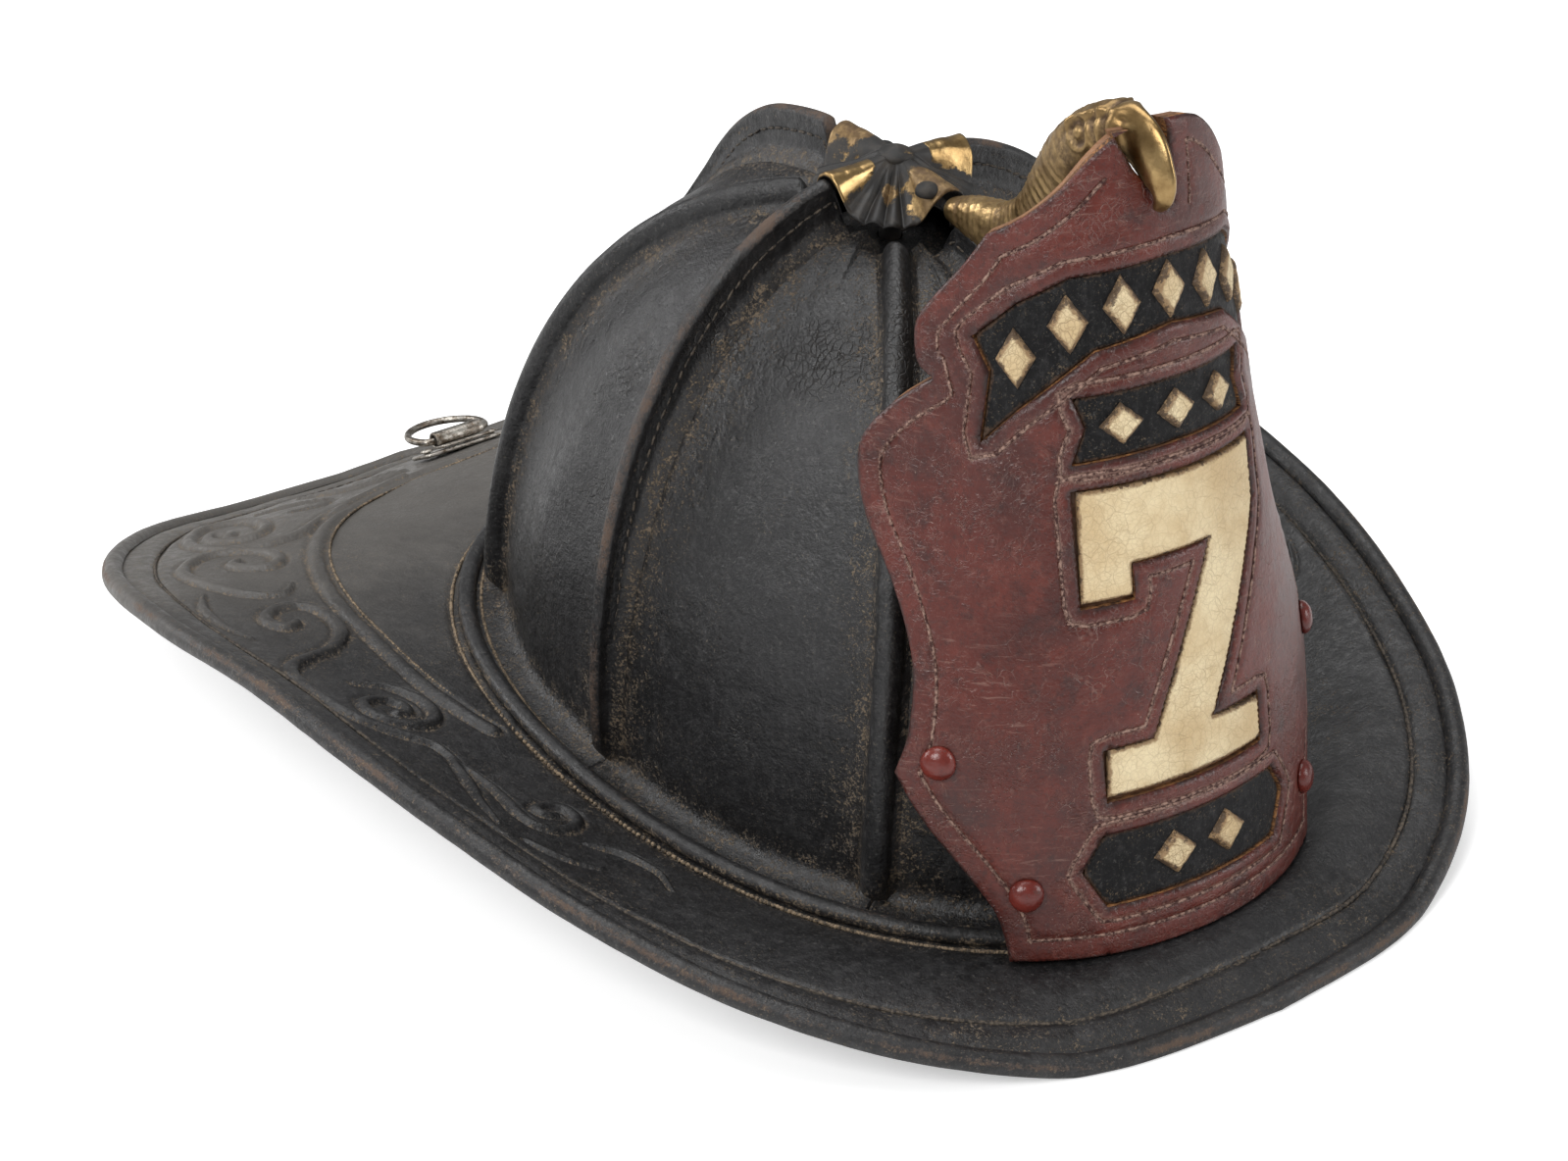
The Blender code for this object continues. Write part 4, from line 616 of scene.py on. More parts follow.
# Brim: tooled scrollwork, a stitched edge and the seams round the crown
SCROLLS = [
    # (points on the near half of the brim in millimetres, start width, middle width, end width)
    ([(-97.5, 139), (-95, 142.5), (-98.2, 146), (-102.6, 142), (-102.7, 135.5), (-97.6, 130.9), (-91, 131.6),
      (-85.5, 138.1), (-84, 148.4), (-87.6, 157), (-96.3, 157.4), (-105.2, 149), (-109.8, 136), (-106.8, 124.6),
      (-98.9, 119), (-88.6, 119.4), (-78.9, 123.6), (-66, 131.6), (-52.4, 138.6), (-39.5, 142.6), (-26, 145)],
     2.6, 3.0, 1.2),
    ([(-110.5, 109.5), (-113.6, 107), (-111.6, 102.2), (-106.2, 99.4), (-101.6, 101.8), (-99.4, 109.2),
      (-103.2, 117.2), (-111.7, 121.6), (-120.9, 118.2), (-127.6, 109.9), (-128.6, 99.3), (-125.9, 90.6),
      (-121.5, 82.2), (-113, 79.4), (-107.6, 84)], 2.6, 3.0, 1.2),
    ([(-121, 58.5), (-124.8, 56.2), (-127.9, 58.6), (-127.2, 63.9), (-121.9, 68.8), (-115, 69.8), (-110.7, 65),
      (-110.1, 56.5), (-113.3, 48.1), (-121, 40.6), (-130.5, 36), (-138.5, 30.2), (-142.4, 20.6), (-141.7, 8.6),
      (-137.6, -1), (-130.2, -8), (-123, -14.6), (-121.6, -24)], 2.6, 3.1, 1.6),
    ([(-123.8, 3.2), (-120.4, 3.6), (-119, 7.6), (-121.8, 10.9), (-127, 10.7), (-130.8, 7.6), (-131.2, 2.6),
      (-127.6, -1.8), (-121.6, -3.6), (-115.4, -1.2), (-112, 4.4), (-112.6, 12), (-117.6, 18.6), (-126, 21)],
     2.4, 2.8, 1.2),
    ([(-111.4, -51.4), (-114.4, -50.2), (-114.2, -47.4), (-109.8, -45.8), (-105.9, -48), (-105.9, -53.2),
      (-110.2, -57.8), (-116.4, -58.8), (-121, -56.2), (-121.9, -50.4), (-120.3, -43), (-119.4, -34), (-121.4, -24)],
     2.2, 2.6, 1.6),
    ([(-122.5, -22), (-125, -34), (-129.4, -46), (-132.4, -58)], 1.6, 3.0, 0.8),
    ([(-75.6, 163), (-67.6, 160.4), (-60.3, 155.6), (-55.6, 148.6)], 0.8, 3.2, 0.8),
    ([(-58, 147), (-66, 143), (-74.6, 145)], 0.8, 2.8, 0.8),
    ([(-52, 178), (-50.6, 165), (-46, 157), (-38, 153.6), (-30, 153.4)], 0.8, 3.0, 0.8),
    ([(-26, 178), (-22, 168), (-27, 159), (-36, 160), (-38, 168), (-32, 173)], 1.2, 2.4, 1.6),
    ([(-133, 88), (-139.5, 76), (-141.5, 62), (-139, 50)], 0.8, 2.8, 0.8),
    ([(-130, -66), (-124, -74), (-115, -79)], 0.8, 2.4, 0.8),
    ([(-112, -66), (-104, -72), (-101, -82), (-104, -92)], 0.8, 2.4, 0.8),
]
INNER_LINE = [(0, 147.5), (-12, 147.2), (-26, 145.2), (-39.8, 141.2), (-54, 135.6), (-68, 126.6), (-81, 114.1),
              (-91.5, 98.4), (-98.7, 82), (-103.4, 63.7), (-105.6, 44.8), (-106.5, 28.5), (-106.2, 14.6),
              (-104.4, 2), (-101.5, -8)]
STITCH_IN, WELT_RUN = 0.0105, WELT_OUT - FLARE


def nearest(points, line, values):
    """Distance from plan points to a sampled line, with the line's value at the nearest sample."""
    best, near = np.full(len(points), 1e9), np.zeros(len(points))
    for start in range(0, len(points), 4000):
        part = slice(start, start + 4000)
        d2 = ((points[part, None] - line[None]) ** 2).sum(-1)
        k = d2.argmin(1)
        best[part], near[part] = np.sqrt(d2[np.arange(len(k)), k]), values[k]
    return best, near


def tooled(x, y):
    """Height of the tooled scrolls, and how deep in a groove each point is, over plan positions."""
    plan = np.stack([-np.abs(x), y], -1).reshape(-1, 2)
    ridge, hollow, band, edges = (np.zeros(len(plan)) for _ in range(4))
    scrolled = (plan[:, 1] > -0.105) & ((plan[:, 0] < -0.095) | (plan[:, 1] > 0.075))
    for points, first, middle, last in SCROLLS:
        share = np.linspace(0, 1, 26 * len(points))
        line = spline(points, share) * MM
        run = clip01(share * (len(points) - 1) / 1.4)
        left = clip01((1 - share) * (len(points) - 1) / 2.5)
        width = np.minimum(first + (middle - first) * run, last + (middle - last) * left) * MM * 0.56
        box = (np.abs(plan - line.mean(0)) < np.ptp(line, axis=0) / 2 + 0.012).all(1)
        close = np.flatnonzero(scrolled & box)
        d, w = nearest(plan[close], line, width)
        arch = clip01(1 - (d / (w * 1.18)) ** 2) ** 0.75
        ridge[close] = np.maximum(ridge[close], arch * (0.00045 + w * 0.50))
        hollow[close] = np.maximum(hollow[close], bell(d, 0.50 * w, w * 1.45))
    near = np.flatnonzero((plan[:, 1] > -0.02) & (plan[:, 1] < 0.16))
    d = nearest(plan[near], spline(INNER_LINE, np.linspace(0, 1, 500)) * MM, np.ones(500))[0]
    band[near] = 0.0011 * clip01(1 - (d / 0.0021) ** 2) ** 0.7
    edges[near] = bell(d, 0.0007, 0.0029)
    height = ridge - 0.00055 * hollow * (ridge < 0.0002) + band - 0.0006 * edges
    return height.reshape(x.shape), np.maximum(hollow * (ridge < 0.0003), edges).reshape(x.shape)


def make_brim():
    turns = 1180
    angle, share = circle(turns), np.linspace(0, 1, 132)[:, None] ** 0.97
    p, n = brim_spot(angle, share)
    x, y = p[..., 0], p[..., 1]
    run = brim_run(angle)
    inset, seam = (1 - share) * run, share * run
    height, groove = tooled(x, y)
    edge_groove, rim_groove = bell(inset, 0.0010, STITCH_IN), bell(inset, 0.0011)
    welt_seam = bell(seam, 0.0009, WELT_RUN + 0.0045)
    lumps = noise2(x + 1, y + 1, 0.022, 3) * 0.0005 + noise2(x, y, 0.007, 4) * 0.00016
    height = ((height + lumps) * smooth(0.0, 0.006, inset) * smooth(0.0, 0.004, seam)
              + 0.0006 * bell(inset, 0.0030, 0.0055) - 0.0007 * edge_groove - 0.0009 * rim_groove - 0.0006 * welt_seam)
    wear = 0.55 * smooth(0.0022, 0.0, inset) + 0.5 * clip01(height / 0.0016) * (inset > 0.004)
    # Grows towards the rear of the brim: real dust there, and painted sheen where the tail faces up
    rear = smooth(-0.02, 0.16, y)
    dirt = (0.62 * bell(seam, 0.0075, WELT_RUN) + 0.65 * edge_groove + 1.25 * groove + 0.65 * rim_groove
            + 0.8 * welt_seam + 0.34 * clip01(noise2(x, y, 0.03, 9) + 0.3 * rear) + 0.25 * smooth(0.022, 0.004, inset))
    foot, up = brim_foot(angle, -0.006), brim_frame(angle)[2]
    under = [brim_top(angle, s) - up * (BRIM_THICK + (EDGE_THICK - BRIM_THICK) * s) for s in np.linspace(1, 0, 9)]
    skin = np.concatenate([foot[None], p + n * height[..., None], under, (foot - UP * BRIM_THICK)[None]])

    def layers(values, inner, outer):
        return np.concatenate([np.full((1, turns), inner), np.clip(values, 0, 1.25), np.full((10, turns), outer)])

    ride(grid("brim_leather", skin, BRIM, wrap_rows=True, wrap_columns=True, wear=layers(wear, 0.0, 0.1),
              dirt=layers(dirt, 0.8, 0.12), age=layers(rear, 0.0, 0.1)), "brim")

    # Rolled edge, rubbed brown along its crest
    a, turn = circle(720), np.linspace(-0.88 * math.pi, 0.88 * math.pi, 22)
    edge, out, up = brim_frame(a)
    bulge = ROLL_R * (1 + 0.018 * noise2(a * 0.3, a * 0, 0.011, 5))
    ring = edge[:, None] + (out[:, None] * np.cos(turn)[None, :, None]
                            + up[:, None] * np.sin(turn)[None, :, None]) * bulge[:, None, None]
    ring[..., 2] = np.maximum(ring[..., 2], 0.0)
    rub = bell(turn, 0.6, 0.5) * (0.75 + 0.3 * noise2(a * 0.3, a * 0, 0.02, 8))[:, None]
    # Greyed towards the rear as well, with dust and painted sheen
    ride(grid("brim_rolled_edge", ring, BRIM, wrap_rows=True, flip=True, wear=clip01(rub),
              dirt=0.25 + 0.35 * smooth(2.2, 2.7, np.abs(turn)), age=smooth(-0.02, 0.16, ring[..., 1])),
         "brim_edge_roll")

    a = circle(1400)
    run = brim_run(a)
    ride(stitches("brim_edge_stitches", *brim_spot(a, 1 - STITCH_IN / run, -0.0005), DARK_THREAD,
                  (0.0036, 0.0010, 0.00050), 0.0047, closed=True))
    line = spline(INNER_LINE[::-1] + [(-x, y) for x, y in INNER_LINE[1:]], np.linspace(0, 1, 900)) * MM
    way = norm(np.gradient(line, axis=0))
    p, n = brim_under_plan(line + np.stack([way[:, 1], -way[:, 0]], -1) * 0.0040)
    ride(stitches("tool_line_stitches", p - n * 0.0001, n, THREAD, (0.0012, 0.0008, 0.00045), 0.0022, jitter=0.25))
    for name, offset, proud in (("outer", 0.0042, -0.0002), ("inner", -0.0041, 0.0016)):
        ride(stitches(f"seam_stitches_{name}", *brim_spot(a, (WELT_RUN + offset) / run, proud), THREAD,
                      (0.0016, 0.0010, 0.0006), 0.0027, closed=True, jitter=0.25))

    # Welt over the seam
    a, sides = circle(900), 18
    p, n = brim_spot(a, WELT_RUN / brim_run(a))
    lit = np.sin(circle(sides))
    ride(tube("crown_welt_cord", p + n * (WELT_R * 0.80), WELT_R * (0.94 + 0.035 * noise2(a, a * 0, 0.06, 12)), BRIM,
              n, sides, squash=0.92, wear=clip01(clip01(lit) * (0.30 + 0.35 * noise2(a, a * 0, 0.13, 14))[:, None]),
              dirt=clip01(0.9 - 1.3 * lit)), "crown_welt")


# Crown: eight gores with a flange at the foot, and the combs between them
COMB_NAMES = ("front", "front_left", "left", "rear_left", "rear", "rear_right", "right", "front_right")
MAIN_TOP, LOW_TOP, FILLET_L = 0.905, 0.90, 0.020
BLADE, SHOULDER, BEAD = 0.40, 0.64, 0.66
EIGHTH = math.pi / 4


def comb_height(k, share):
    """Height of a comb over the crown: tall fins, and low beads between them."""
    if k % 2:
        return 0.0070 + 0.0008 * share / LOW_TOP
    grow = np.sin(np.minimum(math.pi / 2 * share / MAIN_TOP, math.pi / 2)) ** 0.8
    if COMB_NAMES[k] == "rear":
        grow = smooth(0.50, 0.80, share)
    return FOOT_HEIGHT + ((FIN if k else FRONT_FIN) - FOOT_HEIGHT) * grow


def comb_profile(thin):
    """Cross-section of a comb: distance across as a share of its foot, and height as a share of its own."""
    t = np.linspace(-1, 1, 41 if thin else 33)
    a = np.abs(t)
    if not thin:
        turn, foot = clip01(a / BEAD) * math.pi / 2, clip01((a - BEAD) / (1 - BEAD))
        half = BEAD * np.sin(turn) * (1 - 0.06 * np.sin(turn * 2) ** 2)
        height = np.where(a < BEAD, 0.20 + 0.80 * np.cos(turn) ** 0.9, 0.20 * (1 - foot) ** 1.6)
        return np.sign(t) * (half + (1 - BEAD) * foot ** 1.15), height
    side, foot = clip01((a - 0.30) / 0.34), clip01((a - SHOULDER) / (1 - SHOULDER))
    half = BLADE * np.where(a < 0.30, np.sin(a / 0.30 * math.pi / 2), 1 - 0.10 * np.sin(side * math.pi))
    cap = 1 - 0.13 * (1 - np.cos(clip01(a / 0.30) * math.pi / 2))
    height = np.where(a < 0.30, cap, 0.87 - (0.87 - 0.22) * side)
    height = np.where(a > SHOULDER, 0.22 * (1 - foot) ** 1.7, height)
    return np.sign(t) * (half + (1 - half) * foot ** 1.25), height


def fillet(k, share):
    """How far the gores rise where they run up into a comb."""
    return (comb_height(k % 8, share) * (0.24 if k % 2 else 0.27) * smooth(0.0, 0.05, share)
            * smooth(1.0, 0.86, share))


def make_gore(k):
    """One gore, with its flange turned out over the brim."""
    columns = 56
    s = (dome_share(EYE_R) * np.linspace(0, 1, 170) ** 1.15)[:, None]
    tuck = 0.78 - 0.76 * smooth(0.045, 0.012, s)
    half = [comb_half(n * EIGHTH, s) for n in (k, k + 1)]
    start, end = (n * EIGHTH + sign * turn_for(h, n * EIGHTH, s) * tuck
                  for n, h, sign in zip((k, k + 1), half, (1, -1)))
    u = np.linspace(0, 1, columns)
    u = u - 0.06 * np.sin(2 * math.pi * u)
    angle = start + (end - start) * u
    base = dome(angle, s)
    x, y, z = np.moveaxis(base, -1, 0)
    width = np.maximum(length(base[:, -1] - base[:, 0]), 0.004)[:, None]
    side = np.minimum(u * width - half[0] * (1 - tuck), (1 - u) * width - half[1] * (1 - tuck))
    rise = np.where(u < 0.5, fillet(k, s), fillet(k + 1, s)) * clip01(1 - side / FILLET_L) ** 2.6
    fold = np.where(u < 0.5, 1.0, 0.25) * bell(side, 0.0008, 0.0052)
    lumps = (noise2(x * 1.3 + y + k, z, 0.018, 20 + k) * 0.00045 + noise2(x + y, z, 0.006, 40 + k) * 0.00011)
    p = dome(angle, s, 0.0015 * np.sin(math.pi * u) ** 2 * smooth(0.0, 0.05, s)
             + lumps * smooth(0.0, 0.03, side + 0.02 * s) - 0.00012 * bell(side, 0.0010)
             + FLARE * clip01(1 - s / 0.020) ** 2.2 + rise - 0.0005 * smooth(0.0, -0.0010, side)
             - 0.00022 * fold * smooth(0.02, 0.10, s))
    streak = clip01(noise2(angle * 0.09, s * 0.01, 0.0013, 60 + k)) * smooth(0.0, 0.3, s)
    wear = 0.24 * bell(side, 0.0020, 0.0030) + 0.14 * streak
    dirt = (0.70 * bell(side, 0.0020) + 0.45 * bell(s, 0.016) + 0.20 * fold + 0.25 * bell(s, 0.010, 0.018)
            + 0.45 * bell(side, 0.010) + 0.40 * smooth(0.80, 0.96, s)
            + 0.22 * smooth(0.45, 0.0, s) * clip01(noise2(x, z, 0.02, 7)))
    run = brim_run(angle[0])
    lip = [brim_spot(angle[0], out_by / run, thick)[0] for out_by, thick in
           ((0.0026, 0.0004), (0.0027, 0.0011), (0.0022, 0.0016), (0.0010, 0.0018))]
    pad = np.full((4, columns), 0.5)
    made = grid(f"crown_gore_{k + 1}", np.concatenate([lip, p[2:]]), BLACK, flip=True,
                wear=np.concatenate([pad * 0.4, clip01(wear)[2:]]), dirt=np.concatenate([pad, clip01(dirt)[2:]]))
    sheet = made.modifiers.new("sheet", "SOLIDIFY")
    sheet.thickness, sheet.offset = 0.0016, -1
    solid = bpy.data.meshes.new_from_object(made.evaluated_get(bpy.context.evaluated_depsgraph_get()))
    made.modifiers.clear()
    made.data = solid
    ride(made, f"crown_panel_{k + 1}")


def make_comb(k):
    name, main, angle = COMB_NAMES[k], k % 2 == 0, k * EIGHTH
    s = 0.006 + ((MAIN_TOP if main else LOW_TOP) - 0.006) * np.linspace(0, 1, 190) ** 1.12
    half = comb_half(angle, s)
    across, lift = comb_profile(main)
    if main:
        # The blade keeps its thickness where the foot narrows
        blade, t = np.minimum(0.0021 / half, 0.60)[:, None], np.abs(across)
        across = np.sign(across) * np.where(t <= BLADE, clip01(t / BLADE) * blade,
                                            blade + (1 - blade) * clip01((t - BLADE) / (1 - BLADE)))
    end = np.maximum(smooth(0.0, 0.0035, (s[-1] - s) * 0.2) ** 0.5, 0.02)
    height = comb_height(k, s) * end * smooth(-0.004, 0.016, s - s[0]) ** 0.6
    base = dome(angle, s)
    up = norm(dome(angle, s, COMB_FOOT) - base)
    e = turn_for(half, angle, s)
    right = norm(dome(angle + e, s) - dome(angle - e, s))
    wobble, bulge = 0.00022 * noise2(s, s * 0, 0.05, 70 + k), 1 + 0.025 * noise2(s, s * 0, 0.03, 90 + k)
    root = np.minimum(fillet(k, s), height * 0.5)
    inward = (1 - np.abs(across)) * half[:, None]
    lifted = (root[:, None] * (1 + 2.6 * np.minimum(inward, 0.0022) / FILLET_L) + lift * (height - root)[:, None]
              - 0.0006 * bell(inward, 0.0008) + 0.0001)
    pts = (base[:, None] + right[:, None] * (across * (half * 0.985 * bulge)[:, None] + wobble[:, None])[..., None]
           + up[:, None] * lifted[..., None])
    crest = smooth(0.75, 1.0, lift) * (0.80 + 0.35 * noise2(s, s * 0, 0.07, 110 + k))[:, None]
    dirt = clip01(smooth(0.28, 0.0, lift) + 0.9 * smooth(0.06, 0.0, s)[:, None])
    if main:
        dent = bell((1 - lift) * height[:, None], 0.0007, 0.0046) * (height[:, None] > 0.0075)
        pts = pts - right[:, None] * (np.sign(across) * 0.00030 * dent)[..., None]
        dirt = clip01(dirt + 0.5 * dent)
    ride(grid(f"comb_{name}_leather", pts, COMB, caps=True, flip=True, wear=clip01(crest * (0.95 if main else 0.42)),
              dirt=dirt), f"comb_{name}")
    for side, word in ((-1, "left"), (1, "right")) if main else ():
        sewn = height > 0.0085
        line = base + right * (side * blade[:, 0] * half * 0.93)[:, None] + up * (height - 0.0046)[:, None]
        ride(stitches(f"comb_{name}_stitches_{word}", line[sewn], (right * side + up * 0.06)[sewn], DARK_THREAD,
                      (0.0030, 0.0008, 0.00036), 0.0040))


# Front shield: cut leather leaf with stitched borders, panels, inlays and rivets
RIGHT_EDGE = [
    [(0.110, 0.990), (0.170, 0.982), (0.245, 0.962), (0.335, 0.931), (0.440, 0.904), (0.555, 0.884)],
    [(0.555, 0.884), (0.605, 0.860), (0.640, 0.845), (0.720, 0.815), (0.790, 0.782), (0.797, 0.738), (0.753, 0.718)],
    [(0.753, 0.718), (0.890, 0.685), (1.000, 0.636), (1.000, 0.562), (0.925, 0.474), (0.884, 0.388), (0.912, 0.310),
     (0.968, 0.258)],
    [(0.968, 0.258), (0.895, 0.199), (0.765, 0.122), (0.690, 0.068), (0.665, 0.010)],
    [(0.665, 0.010), (0.350, 0.000), (0.000, -0.002)],
]
NOTCH = [(-0.165, 0.990), (-0.132, 0.965), (-0.105, 0.945), (-0.062, 0.922), (-0.022, 0.903), (0.006, 0.893),
         (0.022, 0.900), (0.022, 0.985), (0.012, 0.994)]
WINDOWS = {
    "top": [(-0.62, 0.768), (-0.575, 0.728), (-0.62, 0.645), (-0.50, 0.682), (-0.26, 0.743), (0, 0.757), (0.26, 0.743),
            (0.50, 0.682), (0.62, 0.645), (0.575, 0.728), (0.62, 0.768), (0.48, 0.806), (0.32, 0.832), (0, 0.838),
            (-0.32, 0.832), (-0.48, 0.806)],
    "middle": [(-0.340, 0.692), (-0.308, 0.656), (-0.355, 0.613), (0, 0.616), (0.355, 0.613), (0.308, 0.656),
               (0.340, 0.692), (0, 0.694)],
    "lower": [(-0.350, 0.155), (-0.425, 0.113), (-0.350, 0.062), (0.350, 0.062), (0.425, 0.113), (0.350, 0.155)],
}
NUMERAL = [
    (-0.365, 0.583), (0.365, 0.583), (0.365, 0.500), (0.075, 0.263), (0.300, 0.263), (0.300, 0.196),
    (-0.330, 0.196), (-0.330, 0.263), (-0.160, 0.263), (0.095, 0.484), (-0.190, 0.484), (-0.190, 0.440),
    (-0.365, 0.440)]
# (row, number of lozenges, distance between them, half height), as shares of the shield
LOZENGES = (("top", 7, 0.165, 0.034), ("middle", 3, 0.19, 0.024), ("lower", 2, 0.21, 0.027))
RIVETS = [(side * x, y) for x, y in ((0.828, 0.272), (0.600, 0.097)) for side in (-1, 1)]
SHIELD_BACK = -LEAF - GAP
GROOVE, HEX = 0.00032, 0.866


def sized(shares):
    return np.asarray(shares, float) * np.array([SHIELD_W, SHIELD_H])


def left_of(way):
    """Directions to the left of a plane line."""
    return norm(np.stack([-way[:, 1], way[:, 0]], -1))


def resample(loop, step, closed=True):
    """Points at about even steps along a loop, its corners kept."""
    pts = np.asarray(loop, float)
    out = [a + (b - a) * i / count
           for a, b in zip(pts if closed else pts[:-1], np.roll(pts, -1, 0))
           for count in [max(int(round(np.linalg.norm(b - a) / step)), 1)] for i in range(count)]
    return np.array(out if closed else out + [pts[-1]])


def shield_loop():
    right = np.concatenate([spline(s, np.linspace(0, 1, 14 * (len(s) - 1)))[:-1] for s in RIGHT_EDGE])
    return sized(np.concatenate([right, [(0, -0.002)], (right * [-1, 1])[::-1][:-1], NOTCH]))


def inside_loop(points, loop):
    x, y = points[:, 0], points[:, 1]
    result = np.zeros(len(points), bool)
    for a, b in zip(loop, np.roll(loop, -1, 0)):
        result ^= ((a[1] > y) != (b[1] > y)) & (x < (b[0] - a[0]) * (y - a[1]) / (b[1] - a[1] + 1e-15) + a[0])
    return result


def to_line(points, line, closed=True):
    """Distance from plane points to a polyline."""
    best = np.full(len(points), 1e9)
    starts, ends = (line, np.roll(line, -1, 0)) if closed else (line[:-1], line[1:])
    d = ends - starts
    for i in range(0, len(points), 3000):
        p = points[i:i + 3000, None]
        t = clip01(((p - starts) * d).sum(-1) / np.maximum((d * d).sum(-1), 1e-15))
        best[i:i + 3000] = np.sqrt(((p - (starts + d * t[..., None])) ** 2).sum(-1).min(1))
    return best


def offset_line(loop, distance):
    """Line at a distance inside a loop (or outside when negative), with the fold-overs taken out."""
    pts = resample(loop, 0.0007)
    area = (pts[:, 0] * np.roll(pts[:, 1], -1) - np.roll(pts[:, 0], -1) * pts[:, 1]).sum()
    normal = left_of(np.roll(pts, -2, 0) - np.roll(pts, 2, 0)) * (1 if area > 0 else -1)
    moved = pts + normal * distance
    moved = moved[to_line(moved, np.asarray(loop)) > abs(distance) * 0.985]
    for _ in range(2):
        moved = moved[length(moved - np.roll(moved, 1, 0)) > 0.0001]
    return moved


def cut_sheet(name, outline, material, top, back, holes=(), lines=(), edge_radius=0.0008, spacing=0.0026,
              fine=0.0010, edge_material=None):
    """A leather sheet cut to flat loops, with rounded edges and sewn channels, bent like the shield.

    The first of the lines is open, the others are closed."""
    loops = [resample(loop, fine) for loop in (outline, *holes)]
    borders = np.concatenate(loops)
    edges = []
    for loop in loops:
        start, count = len(edges), len(loop)
        edges += [(start + i, start + (i + 1) % count) for i in range(count)]
    # Points of the triangulation: rows beside the edges and seams, and a lattice elsewhere
    rows = [offset_line(loop, (-edge_radius if i else edge_radius) * d)[::2]
            for i, loop in enumerate(loops) for d in (0.3, 0.75, 1.4)]
    for i, line in enumerate(lines):
        pts = resample(line, 0.0011, closed=i > 0)
        across = left_of(np.gradient(pts, axis=0))
        rows += [pts + across * d for d in (-0.0012, -0.0005, 0.0, 0.0005, 0.0012)]
    rows = np.concatenate(rows)
    rows = rows[np.unique(np.round(rows / 0.00028).astype(int), axis=0, return_index=True)[1]]
    low, high = outline.min(0), outline.max(0)
    x, y = np.meshgrid(np.arange(low[0], high[0], spacing), np.arange(low[1], high[1], spacing * HEX))
    lattice = np.stack([x + (np.arange(len(y)) % 2)[:, None] * spacing / 2, y], -1).reshape(-1, 2)

    def cells(points):
        return map(tuple, np.floor(points / (spacing * 0.55)).astype(int).tolist())

    def kept(points):
        ok = inside_loop(points, loops[0])
        for loop in loops[1:]:
            ok &= ~inside_loop(points, loop)
        return ok

    taken = set(cells(np.concatenate([rows, borders])))
    lattice = lattice[[cell not in taken for cell in cells(lattice)]]
    free = np.concatenate([points[kept(points)] for points in (rows, lattice)])
    free = free[to_line(free, borders, closed=False) > edge_radius * 0.22]
    cut = delaunay_2d_cdt([Vector(v) for v in np.concatenate([borders, free]).tolist()], edges, [], 0, 1e-7)
    flat = np.array([tuple(v) for v in cut[0]])
    faces = np.array([f for f in cut[2] if len(f) == 3])
    faces = faces[kept(flat[faces].mean(1))]
    a, b = (flat[faces[:, i]] - flat[faces[:, 0]] for i in (1, 2))
    faces = np.where((a[:, 0] * b[:, 1] > a[:, 1] * b[:, 0])[:, None], faces, faces[:, ::-1])
    used, faces = np.unique(faces, return_inverse=True)
    faces, flat = faces.reshape(-1, 3), flat[used]
    x, y = flat.T
    count = len(flat)
    d_edge = np.min([to_line(flat, loop) for loop in loops], axis=0)
    d_line = np.min([to_line(flat, line, closed=i > 0) for i, line in enumerate(lines)] or [np.ones(count)], axis=0)
    r = edge_radius
    height = (top - r + np.sqrt(np.maximum(r * r - (r - np.minimum(d_edge, r)) ** 2, 0))
              - GROOVE * bell(d_line, 0.00075) + 0.00022 * bell(d_line, 0.0012, 0.0022) * (d_edge > r)
              + (noise2(x + 1, y, 0.016, 31) * 0.00018 + noise2(x + 1, y, 0.005, 32) * 0.00006)
              * np.minimum(d_edge / 0.002, 1))
    # Walls along the open edges
    pairs = np.concatenate([faces[:, [0, 1]], faces[:, [1, 2]], faces[:, [2, 0]]])
    there, back_again = (pairs @ [count + 1, 1], pairs @ [1, count + 1])
    walls = [[b, a, a + count, b + count] for a, b in pairs[~np.isin(there, back_again)].tolist()]
    wear, dirt = 0.95 * bell(d_edge, 0.0011), 0.85 * bell(d_line, 0.0010) + 0.35 * bell(d_edge, 0.0015, 0.0022)
    made = raw_mesh(name, np.concatenate([shield_at(x, y, height), shield_at(x, y, back)]),
                    faces.tolist() + (faces[:, ::-1] + count).tolist() + walls, material,
                    {"wear": np.r_[wear, np.full(count, 0.8)], "dirt": np.r_[dirt, np.full(count, 0.3)]}, 48)
    if edge_material:
        made.data.materials.append(edge_material)
        index = np.zeros(len(made.data.polygons), np.int32)
        index[len(faces) * 2:] = 1
        made.data.polygons.foreach_set("material_index", index)
    return made


